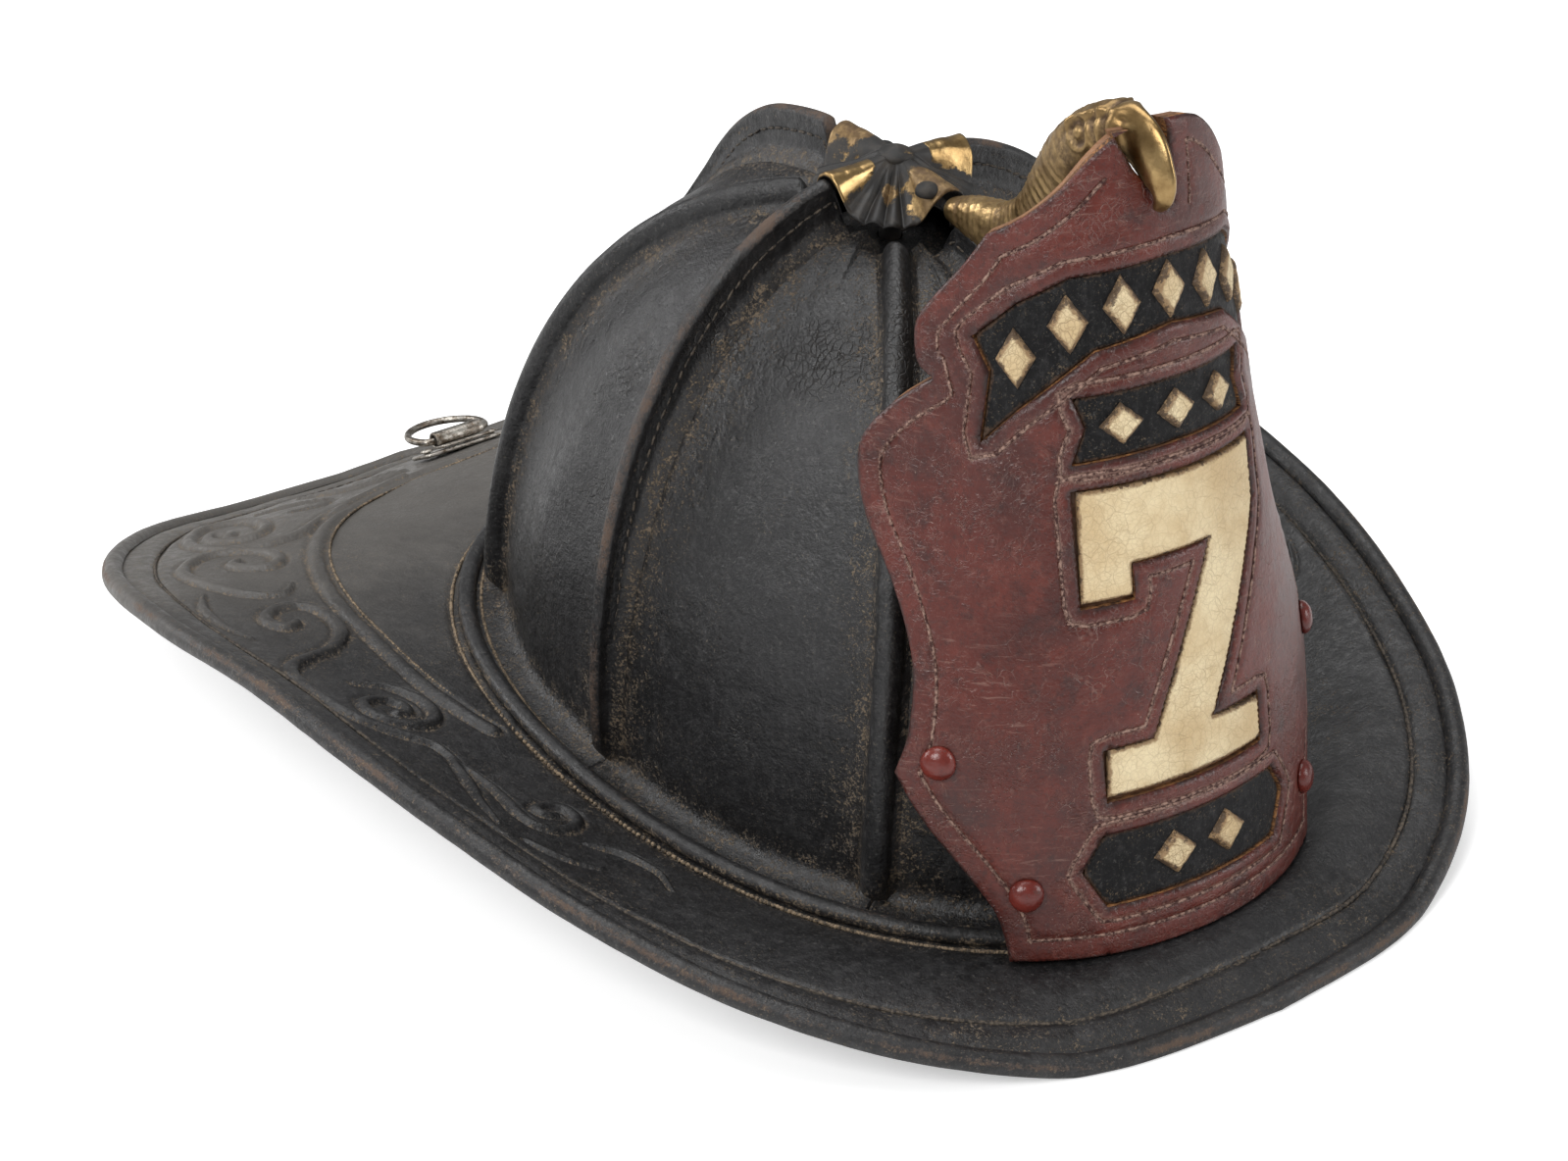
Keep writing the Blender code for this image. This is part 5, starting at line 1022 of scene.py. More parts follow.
def make_shield():
    outline = shield_loop()
    windows = {k: sized(v) for k, v in WINDOWS.items()}
    numeral = sized(NUMERAL)
    border = offset_line(outline, 0.0060)
    # The border seam stops at the notch, where the hide is too narrow for it
    x, y = (border / sized([1, 1])).T
    at_notch = (y > 0.80) & (x > -0.205) & (x < 0.085)
    border = np.roll(border, -np.nonzero(at_notch)[0].max() - 1, 0)[:(~at_notch).sum()]
    seams = {"border": border[to_line(border, outline) > 0.0040]}
    for name, gap in (("top", -0.0042), ("middle", -0.0036), ("lower", -0.0036)):
        seams[f"{name}_window"] = offset_line(windows[name], gap)
    seams["numeral"] = offset_line(numeral, -0.0040)
    ride(cut_sheet("shield_red_leaf", outline, RED, 0.0, -LEAF, [*windows.values(), numeral], list(seams.values()),
                   edge_material=RAW), "shield_leaf")
    for name, line in seams.items():
        x, y = line.T
        ride(stitches(f"shield_stitches_{name}", shield_at(x, y, -0.00012), shield_normal(x, y), RED_THREAD,
                      (0.0024, 0.00075, 0.00030), 0.0030, closed=name != "border", jitter=0.10))

    ride(cut_sheet("shield_back_leaf", outline, TAN, SHIELD_BACK, SHIELD_BACK - BACKING, spacing=0.005, fine=0.002,
                   edge_radius=0.0004), "shield_backing")
    floor = SHIELD_BACK + GAP
    for name, loop in windows.items():
        ride(cut_sheet(f"shield_dark_{name}", offset_line(loop, GAP), PANEL_BLACK, floor + PANEL, floor,
                       edge_radius=0.0003, spacing=0.0016, fine=0.0015), f"shield_panel_{name}")
    inlay = offset_line(numeral, 0.0004)
    corners = np.array([inlay[length(inlay - c).argmin()] for c in numeral])
    ride(cut_sheet("shield_cream_numeral", corners, CREAM, -0.0003, floor, edge_radius=0.0007, spacing=0.0017,
                   fine=0.0008), "shield_numeral")
    for row, count, pitch, half in LOZENGES:
        loop = windows[row]
        for i in range(count):
            x = (i - (count - 1) / 2) * pitch * SHIELD_W
            ys = [a[1] + (b[1] - a[1]) * (x - a[0]) / (b[0] - a[0]) for a, b in zip(loop, np.roll(loop, -1, 0))
                  if min(a[0], b[0]) <= x < max(a[0], b[0])]
            lozenge(f"{row}_{i + 1}", x, (min(ys) + max(ys)) / 2, pitch * SHIELD_W * 0.36, half * SHIELD_H,
                    floor + PANEL)
    for i, spot in enumerate(RIVETS):
        shield_rivet(i + 1, *sized(spot))


def lozenge(name, x, y, wide, half, floor):
    """A raised cream lozenge, a little ragged."""
    rng = np.random.default_rng(abs(int(x * 1e5)) + int(y * 1e5))
    t = np.linspace(-1, 1, 25)
    t = np.sign(t) * (1 - (1 - np.abs(t)) ** 1.5)
    u, v = np.meshgrid(t, t, indexing="ij")
    px, py = (u + v) / 2, (u - v) / 2
    edge = 1 - np.maximum(np.abs(u), np.abs(v))
    ragged = 1.04 * (1 + 0.03 * noise2(px * 0.01 + x, py * 0.01 + y, 0.0022, 200))
    rise = (1 - (1 - clip01(edge / 0.42)) ** 2.4) ** 0.6
    height = floor + ((0.0003 - floor) + 0.00012 * noise2(px * 0.01 + x, py * 0.01, 0.0016, 201)) * rise
    top = shield_at(x + px * wide * ragged + rng.normal(0, 0.0001), y + py * half * ragged, height)
    ride(grid(f"shield_cream_{name}", top, CREAM_OLD, flip=True, wear=clip01(1.15 - edge / 0.55), dirt=0.3),
         f"shield_lozenge_{name}")


def turned(name, profile, place, material, sides=48, closed=False, flip=False, ripple=1.0, **attributes):
    """Piece turned about the local Z of a frame: its origin and three axes."""
    origin, side, ahead, up = place
    t, p = circle(sides)[:, None], np.asarray(profile, float)
    spokes = (side * np.cos(t) + ahead * np.sin(t)) * np.broadcast_to(ripple, (sides,))[:, None]
    rows = origin + spokes[None] * p[:, :1, None] + up * p[:, 1:, None]
    return grid(name, rows, material, wrap_rows=closed, wrap_columns=True, caps=not closed, flip=flip, **attributes)


def shield_rivet(number, x, y):
    r, sides = 0.0044, 28
    up = shield_normal(x, y)
    side = norm(np.cross(up, UP))
    place = shield_at(x, y), side, np.cross(side, up), up
    profile = [(0.0013, -0.0058), (0.0013, -0.0002), (r * 0.985, 0.00010), (r, 0.00045), (r * 0.97, 0.00095),
               (r * 0.88, 0.0016), (r * 0.72, 0.0022), (r * 0.5, 0.0027), (r * 0.25, 0.0029), (0.00002, 0.00296)]
    name = f"shield_rivet_dome_{number}"
    head = turned(name, profile, place, RIVET, sides, flip=True, ripple=1 + 0.02 * np.sin(3 * circle(sides) + x * 900))
    burr = turned(name + "_burr", ((0.0028, -0.0053), (0.0028, -0.0060), (0.0013, -0.0064), (0.00002, -0.0065)),
                  place, NICKEL, sides)
    ride(head, f"shield_rivet_{number}")
    ride(burr)


# Brass leaf over the crown, its stud and the eagle that holds the shield
FLUTES = 13
SECTIONS = [
    # (reach, rise, depth, width) along the eagle, as shares of its own
    (0.000, 0.000, 0.40, 0.50), (0.130, 0.035, 0.66, 0.60), (0.300, 0.070, 0.85, 0.66), (0.420, 0.210, 0.92, 0.72),
    (0.510, 0.430, 0.98, 0.84), (0.595, 0.640, 1.00, 0.96), (0.695, 0.790, 0.98, 0.98), (0.800, 0.880, 0.92, 0.80),
    (0.890, 0.900, 0.88, 0.56), (0.965, 0.830, 0.84, 0.47), (1.015, 0.700, 0.68, 0.41), (1.025, 0.600, 0.44, 0.34),
    (1.000, 0.520, 0.20, 0.22)]


def leaf_rise(angle, share):
    """Height of the leaf's underside over the crown, and where it is a gable and where a fan of flutes."""
    turn = (angle + EIGHTH) % (2 * EIGHTH) - EIGHTH
    gable = bell(CREST_R * share * np.sin(turn), 0.0036, sharp=2.6)
    fan = smooth(0.16, 0.42, np.abs(turn))
    flute = np.abs(np.sin(FLUTES * (angle - EIGHTH))) ** 0.9 - 0.5
    height = CREST_H + 0.0030 * gable * (1 - 0.10 * share) + 0.0014 * fan * flute * smooth(0.12, 0.6, share)
    return height - 0.0068 * fan * share ** 1.5 * (1 - 0.6 * gable), gable * smooth(0.3, 0.12, np.abs(turn)), fan


def make_leaf():
    a, s = circle(480), np.linspace(0, 1, 44)[:, None]
    height, gable, fan = leaf_rise(a[None], s)
    veins = 0.0002 * gable * np.maximum(0, np.sin(s * 26)) ** 3 * smooth(0.25, 0.6, s)
    edge = 0.965 - 0.06 * fan - 0.018 * (1 - np.abs(np.sin(FLUTES * (a - EIGHTH)))) * fan
    hub = 0.0012
    radius = hub + (CREST_R * (edge + 0.008 * noise2(a * 0.02, 0 * a, 0.0022, 61)) - hub) * s
    x, y = -np.sin(a) * radius, -np.cos(a) * radius
    z = CROWN_H + height + 0.00028 * noise2(1 - x, 1 - y, 0.0045, 62)
    top, low = crown_at(x, y, z + CREST_T - 0.0001 - veins * 0.5), crown_at(x, y, z + 0.0001)
    rim = (top[-1] + low[-1]) / 2 + (top[-1] - crown_at(0, 0, CROWN_H + CREST_H)) * 0.012
    # Where the paint is worn off, and where the brass under it is dull
    left, right = (bell(around_to(a, side * math.pi / 2), w, sharp=3) for side, w in ((1, 0.25), (-1, 0.30)))
    front, back = bell(around_to(a, 0.10), 0.34), bell(around_to(a, math.pi), 0.34)
    spot = bell(around_to(a, 0.80), 0.17) * bell(s, 0.20, 0.55)
    paint = (0.68 - 0.34 * spot - 0.80 * left * smooth(0.30, 0.46, s) - 0.80 * right * smooth(0.34, 0.50, s)
             - 0.36 * front * smooth(0.15, 0.5, s) - 0.34 * back * smooth(0.2, 0.6, s))
    dull = 0.10 + 0.65 * (front + back) + 0.9 * spot
    paint, dull = (np.concatenate([v, v[-1:], np.full_like(v, under)]) for v, under in ((paint, 0.7), (dull, 0.5)))
    ride(grid("brass_leaf_worked", np.concatenate([top, rim[None], low[::-1]]), BRASS, wrap_columns=True, flip=True,
              paint=paint, dirt=dull), "crest_leaf")


def make_fastening():
    """The holder's stud, the leather cap under it and two pins in the leaf."""
    centre = crown_at(0, 0, 0)
    place = centre, *CROWN_AXES
    seat = CROWN_H + CREST_H + 0.0016 + 0.0026
    base = (0.14758 - CROWN_Z) / CROWN_UP[2]
    ride(turned("peaked_stud", [
        (0.0001, base), (0.0024, base), (0.0028, base + 0.0005), (0.0028, seat - 0.0036), (0.0031, seat - 0.0024),
        (0.0042, seat - 0.0012), (0.0046, seat - 0.0002), (0.0042, seat + 0.0006), (0.0034, seat + 0.0011),
        (0.0023, seat + 0.0016), (0.0012, seat + 0.0022), (0.0001, seat + 0.0025)], place, BRASS, paint=0.60,
        dirt=0.5), "holder_stud")
    low = float((dome(math.pi / 2, dome_share(CAP_R), -CROWN_THICK) - centre) @ CROWN_UP) - GAP - CROWN_THICK
    ride(turned("eye_cap_leather", [(r, low + z) for r, z in (
        (0.0032, 0.0001), (0.0160, 0.0001), (0.0167, 0.0005), (0.0169, 0.0015), (0.0166, 0.0024), (0.0158, 0.0028),
        (0.0034, 0.0029), (0.0032, 0.0026))], place, BLACK, wear=0.3, dirt=0.3, closed=True),
        "crown_eye_cap")
    for name, degrees, radius, size in (("left", 12, 0.0178, 0.0031), ("rear", -150, 0.0172, 0.0026)):
        angle = math.radians(degrees)
        spot = crown_at(-math.sin(angle) * radius, -math.cos(angle) * radius,
                        CROWN_H + float(leaf_rise(angle, 0.75)[0]) + CREST_T)
        ride(turned(f"leaf_pin_{name}", [(size, -0.0008), (size, 0.0002), (size * 0.93, 0.0009), (size * 0.7, 0.0016),
                                         (size * 0.4, 0.0020), (0.0001, 0.0021)],
                    (spot, *CROWN_AXES), BRASS, sides=24, paint=0.62, dirt=0.7))


def make_eagle():
    start, turn = crown_at(0, -CREST_R - 0.0016, CROWN_H + CREST_H), math.radians(2.9)
    forward = np.array([-math.sin(turn), -math.cos(turn), 0])
    across = np.array([math.cos(turn), -math.sin(turn), 0])
    tip = shield_at(0.0, 0.897 * SHIELD_H, GAP + 0.0013)
    reach = (start[1] - tip[1]) / math.cos(turn)
    rise = shield_at(0.0, SHIELD_H)[2] - start[2]
    u = np.linspace(0, 1, 210)
    table = spline(SECTIONS, u)
    height = table[:, 1] * rise + (tip[2] - start[2] - 0.52 * rise) * np.maximum(table[:, 0], 0) ** 2
    centres = start + forward * (table[:, :1] * reach) + UP * height[:, None]
    upward = np.cross(norm(np.gradient(centres, axis=0)), across)
    # The casting is deeper below than the plain form: a hanging neck, a full jaw and a heavy beak
    extra = np.interp(u, [0, 0.08, 0.2, 0.33, 0.45, 0.56, 0.64, 0.70, 0.78, 0.86, 0.93, 1.0],
                      [0.001, 0.0042, 0.006, 0.005, 0.0028, 0.0016, 0.0022, 0.0034, 0.0036, 0.0024, 0.0012, 0.0005])
    extra = np.convolve(np.pad(extra, 8, mode="edge"), np.ones(17) / 17, "valid")
    centres = centres - upward * extra[:, None] / 2
    depth, width = (table[:, 2] * 0.013 + extra)[:, None], (table[:, 3] * 0.015)[:, None]
    u, t = u[:, None], circle(72)
    high, deep = np.maximum(np.sin(t), 0), np.maximum(-np.sin(t), 0)
    beak, neck = smooth(0.60, 0.72, u), smooth(0.42, 0.30, u)
    head = smooth(0.30, 0.44, u) * smooth(0.70, 0.60, u)
    # Half width narrows towards the ridge of the beak and under the jaw
    taper = ((1 - beak * (0.34 * high ** 1.5 + 0.10 * deep ** 2)) * (1 - head * 0.12 * high ** 2)
             * (1 - 0.12 * neck * deep ** 2))
    e = 0.85 + 0.12 * beak
    x, y = power(np.cos(t), e) * width / 2 * taper, power(np.sin(t), e) * depth / 2
    run = np.r_[0, np.cumsum(length(np.diff(centres, axis=0)))][:, None]
    shape = np.stack([x, y], -1)
    girth = length(np.roll(shape, -1, 1) - shape)
    around = np.cumsum(girth, 1) - girth.sum(1, keepdims=True) * 0.25

    def past(share):
        """Distance along the eagle from a share of it."""
        return run - np.interp(share, u[:, 0], run[:, 0])

    # Feathers: rows of overlapping scallops, longer on the head than on the neck
    pitch = np.interp(u, [0, 0.3, 0.45, 0.6], [0.0024, 0.0026, 0.0032, 0.0036])
    rows = np.cumsum(np.diff(run, axis=0, prepend=0) / pitch, 0)
    lane = around / (0.0023 + 0.0006 * head)
    odd = np.floor(rows + 2.4 * (lane % 1 - 0.5) ** 2) % 2
    v = (lane + 0.5 * odd) % 1 - 0.5
    scallop = ((rows + 2.2 * v ** 2) % 1) ** 1.6 - 0.5
    cover = smooth(0.015, 0.05, u) * smooth(0.60, 0.54, u)
    off = cover * (0.00042 * scallop * (1 - 0.35 * head) + 0.000025 * bell(v, 0.10))
    eye = 0.520
    for hand in (1, -1):
        def beside(degrees, radius, turn=0.0):
            """Distance round from a line on this side of the head."""
            centre = math.radians(degrees if hand > 0 else 180 - degrees)
            return around_to(t, centre + turn) * radius

        # Eye in its hollow, with a lid round it and a pupil
        da, dl = beside(12, 0.0058) * 1.1, past(eye)
        r = np.sqrt(da ** 2 + dl ** 2)
        off *= 1 - bell(r, 0.0046, sharp=4)
        off += (0.00125 * np.sqrt(np.maximum(1 - (r / 0.00170) ** 2, 0)) - 0.00070 * bell(r, 0.0030, sharp=4)
                - 0.00050 * bell(r, 0.00040, 0.0022) + 0.00060 * bell(r, 0.00055, 0.0033)
                - 0.00030 * bell(np.sqrt((da - 0.0001) ** 2 + (dl - 0.0002) ** 2), 0.00045))
        # Brow over the eye, drawn forward to the root of the beak
        db = beside(38, 0.0058, hand * 0.22 * (u - eye) * 6)
        off += 0.00110 * bell(db, 0.0010) * smooth(0.40, 0.50, u) * smooth(0.66, 0.58, u)
        off -= 0.00040 * bell(db, 0.0006, hand * -0.0016) * smooth(0.44, 0.50, u) * smooth(0.64, 0.58, u)
        # Gape of the beak, and the nostril
        off -= 0.00050 * bell(beside(-40, 0.0045), 0.00045) * smooth(0.57, 0.62, u) * smooth(0.90, 0.80, u)
        off -= 0.00045 * bell(beside(28, 0.0045), 0.0005) * bell(past(0.655), 0.0010)
    # Folds where the head meets the beak, and the swelling of the cere
    for at, size, amount in ((0.572, 0.0007, -0.00080), (0.590, 0.0006, 0.00070), (0.608, 0.0006, -0.00080),
                             (0.636, 0.0013, 0.00060)):
        off += amount * bell(past(at) + 0.0010 * np.cos(2 * t), size) * (0.55 + 0.45 * np.abs(np.cos(t)))
    off += 0.00010 * noise2(run + 1 + 0 * t, around + 1, 0.003, 66)
    outward = norm(np.stack([x / np.maximum(width, 1e-5), y / np.maximum(depth, 1e-5)], -1))
    shape = shape + outward * (off * smooth(0.0, 0.03, u) * smooth(1.0, 0.97, u) - 0.00018)[..., None]
    skin = centres[:, None] + across * shape[..., :1] + upward[:, None] * shape[..., 1:]
    patina_and_shade = (0.30 + 0.16 * head + 0.62 * clip01(-off / 0.0004) + 0.16 * noise2(run + 3 + 0 * t, around, 0.006, 67))
    # The beak is kept bright but for its lower side, which is darkened as painted shade
    patina_and_shade = patina_and_shade * (1 - 0.80 * beak) + 0.40 * beak * smooth(0.0, -0.8, np.sin(t))
    paint = 0.12 + 0.34 * smooth(0.05, 0.0, u) + 0.22 * beak * (np.cos(t) > 0.3) * (np.sin(t) > 0.2)
    ride(grid("eagle_cast_head", skin, BRASS, wrap_columns=True, caps=True, flip=True, paint=paint,
              dirt=clip01(patina_and_shade)), "eagle_holder")


# Hanger on the rear brim
SLOPE_C, SLOPE_S = 0.909236, 0.416282
H_AXES = np.array([[1, 0, 0], [0, SLOPE_C, -SLOPE_S], [0, SLOPE_S, SLOPE_C]])
H_BASE = np.array([0, 0.166595, 0.019243])
PLATE_LOW, PLATE_HIGH = 0.00051, 0.00171
CLIP_R, CLIP_WALL, CLIP_HALF, CLIP_EDGE = 0.00275, 0.0011, 0.0085, 0.0004
RING_R, RING_BAR, RING_WIRE = 0.0122, 0.0105, 0.00115


def hanger_at(x, y, z):
    return H_BASE + np.stack(np.broadcast_arrays(x, y, z), -1) @ H_AXES


def rounded_box(half_x, half_y, r, count=10):
    pts = []
    for cx, cy, first in ((1, 1, 0), (-1, 1, 90), (-1, -1, 180), (1, -1, 270)):
        a = np.radians(first + 90 * np.arange(count) / (count - 1))
        pts.append(np.stack([cx * (half_x - r) + r * np.cos(a), cy * (half_y - r) + r * np.sin(a)], -1))
    return np.concatenate(pts)


def make_hanger():
    rows = []
    for inset, z in ((0.004, PLATE_LOW), (0.0003, PLATE_LOW), (0.0, PLATE_LOW + 0.0003), (0.0, PLATE_HIGH - 0.0004),
                     (0.0001, PLATE_HIGH - 0.00015), (0.0004, PLATE_HIGH), (0.0010, PLATE_HIGH),
                     (0.0022, PLATE_HIGH), (0.0038, PLATE_HIGH), (0.0052, PLATE_HIGH)):
        x, y = rounded_box(0.0149 - inset, 0.0059 - inset, max(0.0016 - inset, 0.0002)).T
        dent = 0.00007 * noise2(x + 1, y + 1, 0.004, 71) * (inset > 0.0003)
        rows.append(hanger_at(x, y, z + dent - 0.00002))
    ride(grid("hanger_plate_worn", np.array(rows), NICKEL, wrap_columns=True, caps=True), "hanger_plate")

    # Clip: a strip folded round the ring's bar
    centre = PLATE_HIGH + GAP + CLIP_R
    arc = np.radians(np.linspace(-90, 212, 44))
    flat = centre - CLIP_R + CLIP_WALL / 2
    mid = np.concatenate([[[-0.0056, flat], [-0.0036, flat], [-0.0018, flat]],
                          np.stack([np.cos(arc), np.sin(arc)], -1) * (CLIP_R - CLIP_WALL / 2) + [0, centre]])
    way = norm(np.gradient(mid, axis=0))
    side = np.stack([-way[:, 1], way[:, 0]], -1)
    rows, b = [], CLIP_EDGE
    for d in (0.0, 0.00012, b * 0.6, b, 0.002, 0.0045, CLIP_HALF - 0.00001):
        thin = CLIP_WALL / 2 - (b - math.sqrt(max(b * b - (b - min(d, b)) ** 2, 0))) * 0.6 - 0.00002
        y, z = np.concatenate([mid + side * thin, (mid[-1] + way[-1] * thin * 0.7)[None], (mid - side * thin)[::-1],
                               (mid[0] - way[0] * thin * 0.7)[None]]).T
        rows.append(hanger_at(-CLIP_HALF + 0.00005 + d, y, z))
    mirrored = [row * [-1, 1, 1] for row in rows[::-1][1:]]
    ride(grid("hanger_clip_folded", np.array(rows + mirrored), NICKEL, wrap_columns=True, caps=True),
         "hanger_clip")

    top = PLATE_HIGH + GAP
    for name, x in (("left", -0.01175), ("right", 0.01175)):
        ride(turned(f"hanger_rivet_dome_{name}", [
            (0.0001, PLATE_LOW), (0.00105, PLATE_LOW), (0.00105, top), (0.0019, top), (0.0021, top + 0.0002),
            (0.0020, top + 0.0006), (0.0015, top + 0.00098), (0.0008, top + 0.00115), (0.0001, top + 0.0012)],
            (hanger_at(x, 0.0, 0.0), *H_AXES), NICKEL, sides=24), f"hanger_rivet_{name}")

    # D-shaped ring
    setback = math.sqrt(RING_R ** 2 - RING_BAR ** 2)
    opening = math.atan2(RING_BAR, -setback)
    t = np.linspace(-opening, opening, 60)
    path = np.stack([RING_R * np.sin(t), setback + RING_R * np.cos(t)], -1)
    path = np.concatenate([path, np.linspace(path[-1], path[0], 12)[1:-1]])
    for _ in range(2):
        path = 0.5 * path + 0.25 * (np.roll(path, 1, 0) + np.roll(path, -1, 0))
    lift = math.atan2(SLOPE_S, SLOPE_C) - math.radians(10)
    c, s = math.cos(lift), math.sin(lift)
    wire = RING_WIRE * (0.985 + 0.012 * np.sin(np.arange(len(path)) * 0.7))
    ride(tube("hanger_ring_wire", hanger_at(path[:, 0], path[:, 1] * c, centre + path[:, 1] * s), wire, NICKEL,
              H_AXES[1] * -s + H_AXES[2] * c), "hanger_ring", body="ring")


# Lining: sweatband, felt, cotton cap with eight lobes and its lace
BAND_WIDE, BAND_FRONT, BAND_BACK = CROWN_W - 0.010, CROWN_F - 0.0155, CROWN_B - 0.0125
PLEAT = 0.0018


def band_half(angle):
    return np.where(np.cos(angle) > 0, BAND_FRONT, BAND_BACK)


def band_at(angle, proud, height):
    return crown_at(*oval(angle, BAND_WIDE + proud, band_half(angle) + proud), height)


def liner_fold(angle):
    return 1 - np.abs(np.sin(4 * angle)) ** 0.7


def liner_at(angle, turn, depth):
    foot, spread = BAND_H + GAP, np.cos(turn)
    reach = depth * spread - PLEAT * liner_fold(angle) * np.sin(turn)
    x, y = oval(angle, (BAND_WIDE + reach) * spread, (band_half(angle) + reach) * spread)
    return crown_at(x, y, foot + (LINER_H - foot + depth) * np.sin(turn))


def liner_edge(angle):
    return np.arccos((0.024 + 4 * PLEAT * liner_fold(angle)) / band_half(angle))


def make_band():
    a, h = circle(360), np.linspace(0, 1, 18)[:, None]
    crease = (0.00045 * noise2(a * 0.09 + 1, h * 0.01 + 1, 0.0042, 81)
              + 0.0004 * noise2(a * 0.09, h * 0.02 + 3, 0.015, 82))
    heights, belly = GAP + 0.0003 + (BAND_H - 0.0006) * h, -0.0004 * np.sin(math.pi * h)
    outer = band_at(a, -0.0002 + crease * 0.4 + belly, heights)
    inner = band_at(a, -BAND_T + 0.0002 + crease * 0.8 + belly, heights)
    low, high = (band_at(a, -BAND_T / 2, z)[None] for z in (GAP + 0.00005, BAND_H - 0.00005))
    edge = bell(np.minimum(h, 1 - h), 0.05)
    one = np.ones((1, 1))
    wear = np.concatenate([edge, one, edge[::-1], one])
    dirt = np.concatenate([0.2 + 0 * edge, 0.4 * one, 0.25 + 0.5 * edge[::-1], 0.5 * one])
    ride(grid("sweatband_leather", np.concatenate([outer, high, inner[::-1], low]), TAN, wrap_rows=True,
              wrap_columns=True, flip=True, wear=wear, dirt=dirt), "sweatband")
    for name, height in (("low", 0.0042), ("top", BAND_H - 0.0030)):
        p = band_at(circle(720), -BAND_T + 0.0001, height)
        ride(stitches(f"sweatband_stitches_{name}", p, norm(crown_at(0, 0, height) - p), THREAD,
                      (0.0030, 0.0008, 0.0003), 0.0040, closed=True))


def make_pad():
    a, h = circle(360), np.linspace(0, 1, 9)[:, None]
    z = 0.0033 + 0.0005 + (0.020 - 0.001) * h
    share = np.arcsin((z / CROWN_H) ** (DOME_E / 2)) * 2 / math.pi
    fuzz = 0.00025 * noise2(a * 0.09, h * 0.02, 0.003, 85)
    outer, inner = dome(a, share, -CROWN_THICK - 4.2 * GAP + fuzz), band_at(a, GAP + 0.0002 + fuzz, z)
    top, low = ((outer[k] + inner[k]) / 2 + CROWN_UP * by for k, by in ((-1, 0.0004), (0, -0.0004)))
    pad = grid("pad_felt_ring", np.concatenate([outer, top[None], inner[::-1], low[None]]), FELT, wrap_rows=True,
               wrap_columns=True, flip=True)
    ride(pad, "felt_pad")


def make_liner():
    a, s = circle(640), np.linspace(0, 1, 56)[:, None]
    turn = liner_edge(a) * s
    pleat = 0.0009 * smooth(0.45, 1.0, s) * np.sin(56 * a) * (0.6 + 0.4 * noise2(a * 0.3, 0 * a, 0.02, 86))
    soft = 0.0011 * noise2(np.sin(a) * 0.05 * (1.2 - s) + 1, np.cos(a) * 0.05 * (1.2 - s) + 1, 0.012, 87)
    soft = soft * np.sin(math.pi * s) + pleat - 0.0012
    outer, inner = liner_at(a, turn, soft), liner_at(a, turn, soft - 0.0008)
    liner = grid("crown_liner_cotton", np.concatenate([outer, inner[::-1]]), LINEN, wrap_rows=True,
                 wrap_columns=True, flip=True)
    ride(liner, "crown_liner")
    # Lace cord round its edge
    centre = liner_at(a[::2], liner_edge(a[::2]), 0.0) + CROWN_UP * (0.0011 + GAP)
    twist = 0.00095 * (1 + 0.08 * np.sin(np.arange(len(centre)) * 1.9))
    ride(tube("liner_lace_cord", centre, twist, LACE, UP, sides=12), "liner_lace")


make_brim()
for which in range(8):
    make_gore(which)
for which in range(8):
    make_comb(which)
make_shield()
make_leaf()
make_fastening()
make_eagle()
make_hanger()
make_band()
make_pad()
make_liner()
for kept in ("brim_wire", "holder_nut"):
    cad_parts[kept].data.materials[0] = NICKEL


# Studio: pale floor, soft lamps and the camera
AMBIENT, FLOOR_GLOW, FLOOR_HALF, FLOOR_Z = 0.27, 0.44, 3, -0.0002
PHOTO_WIDTH, FOCAL_PIXELS = 1599, 3951.9
LAMPS = (
    # (name, place, aim, size, watts)
    ("key_softbox", (-1.25, -0.55, 1.15), (0, 0, 0.08), (0.8, 0.8), 18.0),
    ("top_softbox", (0.05, 0.25, 1.55), (0, 0, 0.05), (1.3, 1.0), 16.0),
    ("front_fill", (1.10, -1.30, 0.70), (0, 0, 0.1), (0.7, 0.8), 11.0),
    ("rear_rim", (-0.9, 1.2, 0.75), (0, 0, 0.1), (0.9, 0.5), 11.0))


def add(name, data):
    made = bpy.data.objects.new(name, data)
    bpy.context.scene.collection.objects.link(made)
    return made


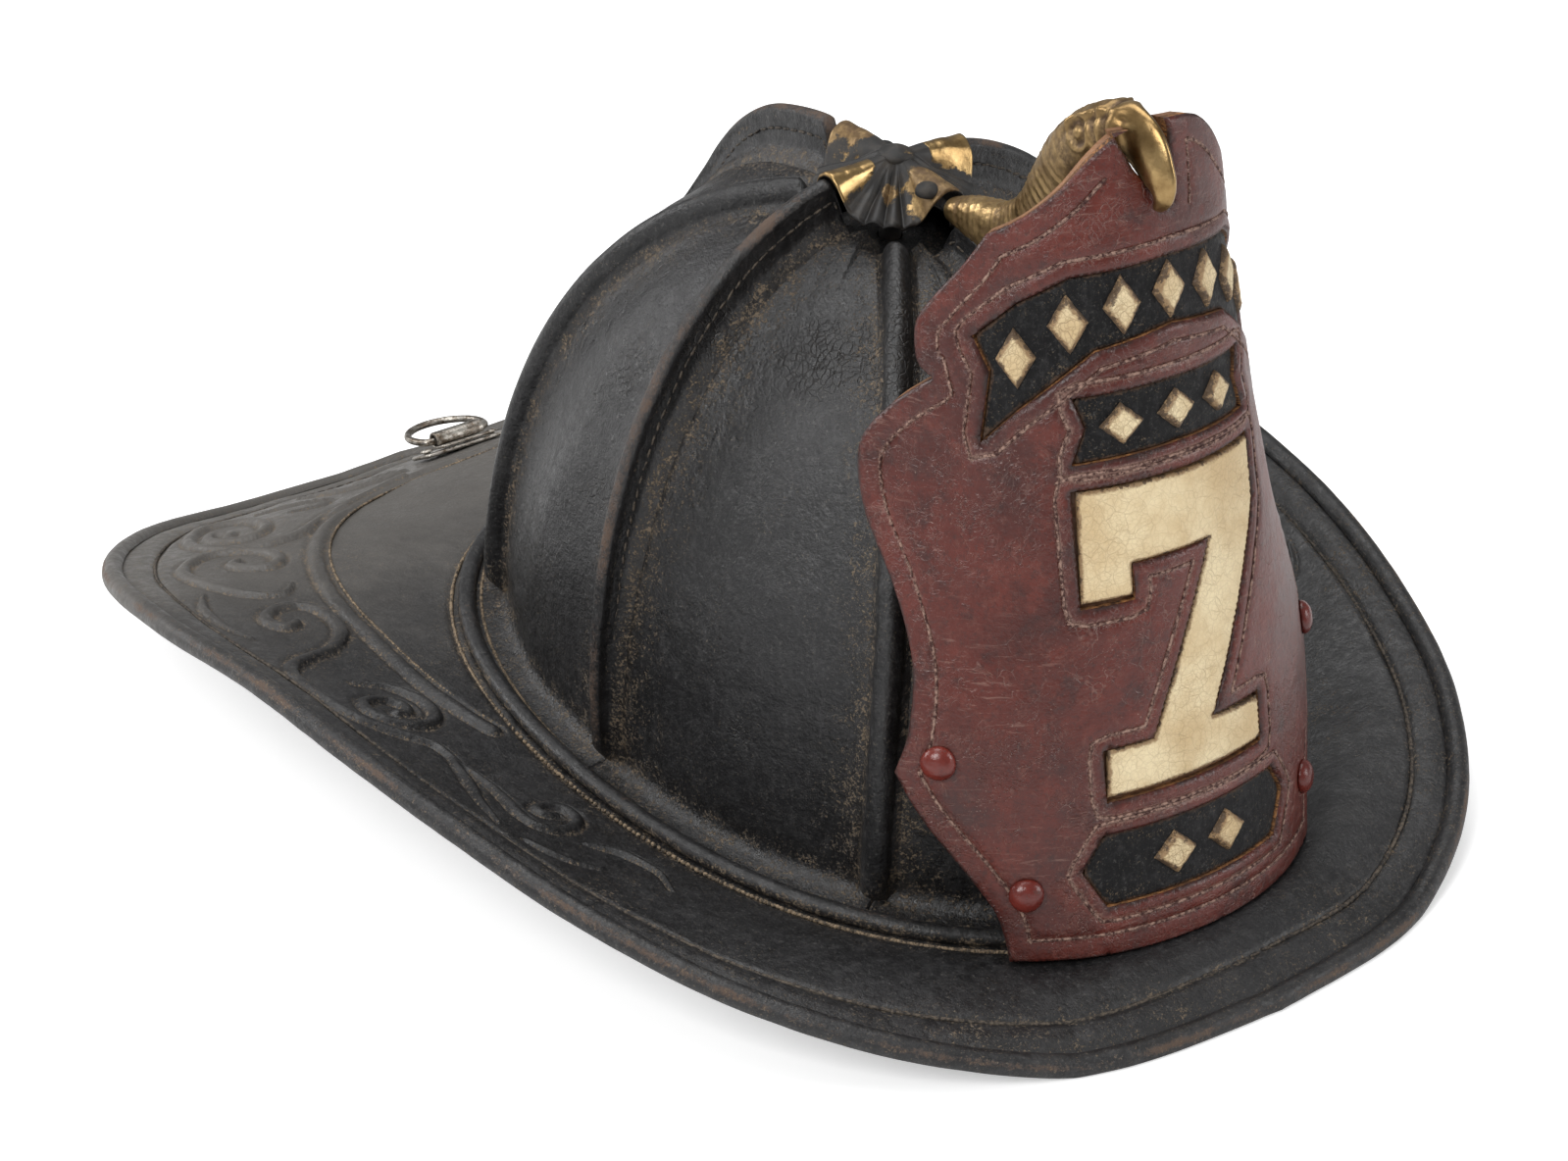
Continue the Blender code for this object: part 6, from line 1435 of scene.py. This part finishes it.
def floor_material():
    """Pale matt floor that glows a little for the camera alone."""
    m = bpy.data.materials.new("studio_floor")
    m.use_nodes = True
    nodes = Nodes(m.node_tree)
    shader = m.node_tree.nodes["Principled BSDF"]
    for key, value in (("Base Color", (0.86, 0.86, 0.86)), ("Roughness", 0.9), ("Specular IOR Level", 0.1)):
        nodes.put(value, shader.inputs[key])
    glow = nodes.node("Emission", 0, None, Color=(1.0, 1.0, 1.0), Strength=nodes.seen() * FLOOR_GLOW)
    both = nodes.node("AddShader", 0, None, Value(nodes, shader.outputs["BSDF"]), glow)
    nodes.put(both, m.node_tree.nodes["Material Output"].inputs["Surface"])
    return m


def stage_and_light():
    h, z = FLOOR_HALF, FLOOR_Z
    raw_mesh("studio_floor", [(-h, -h, z), (h, -h, z), (h, h, z), (-h, h, z)], [[0, 1, 2, 3]],
                      floor_material())
    world = bpy.data.worlds.new("studio")
    bpy.context.scene.world = world
    world.use_nodes = True
    nodes, back = Nodes(world.node_tree), world.node_tree.nodes["Background"]
    nodes.put((1.0, 1.0, 1.0), back.inputs["Color"])
    nodes.put(nodes.node("MapRange", "Result", None, Value=nodes.seen(), To_Min=AMBIENT, To_Max=1.0),
              back.inputs["Strength"])
    for name, place, aim, size, watts in LAMPS:
        lamp = bpy.data.lights.new(name, "AREA")
        lamp.shape, lamp.energy = "RECTANGLE", watts
        lamp.size, lamp.size_y = size
        held = add(name, lamp)
        held.location = place
        held.rotation_euler = (Vector(aim) - Vector(place)).to_track_quat("-Z", "Y").to_euler()


def camera():
    az, el, roll = (math.radians(v) for v in (-36.37, 26.99, -1.41))
    back = Vector((math.sin(az) * math.cos(el), -math.cos(az) * math.cos(el), math.sin(el)))
    right = Vector((math.cos(az), math.sin(az), 0))
    up = back.cross(right)
    side = right * math.cos(roll) + up * math.sin(roll)
    top = -right * math.sin(roll) + up * math.cos(roll)
    cam = bpy.data.cameras.new("photo_camera")
    cam.sensor_fit, cam.sensor_width = "HORIZONTAL", 36
    cam.lens = FOCAL_PIXELS / PHOTO_WIDTH * 36
    cam.clip_start, cam.clip_end = 0.05, 20
    held = add("photo_camera", cam)
    held.matrix_world = Matrix(((side.x, top.x, back.x, -0.5680), (side.y, top.y, back.y, -0.7721),
                                (side.z, top.z, back.z, 0.5270), (0, 0, 0, 1)))
    bpy.context.scene.camera = held


stage_and_light()
camera()
bpy.context.scene.view_settings.view_transform = "Standard"
bpy.context.view_layer.update()
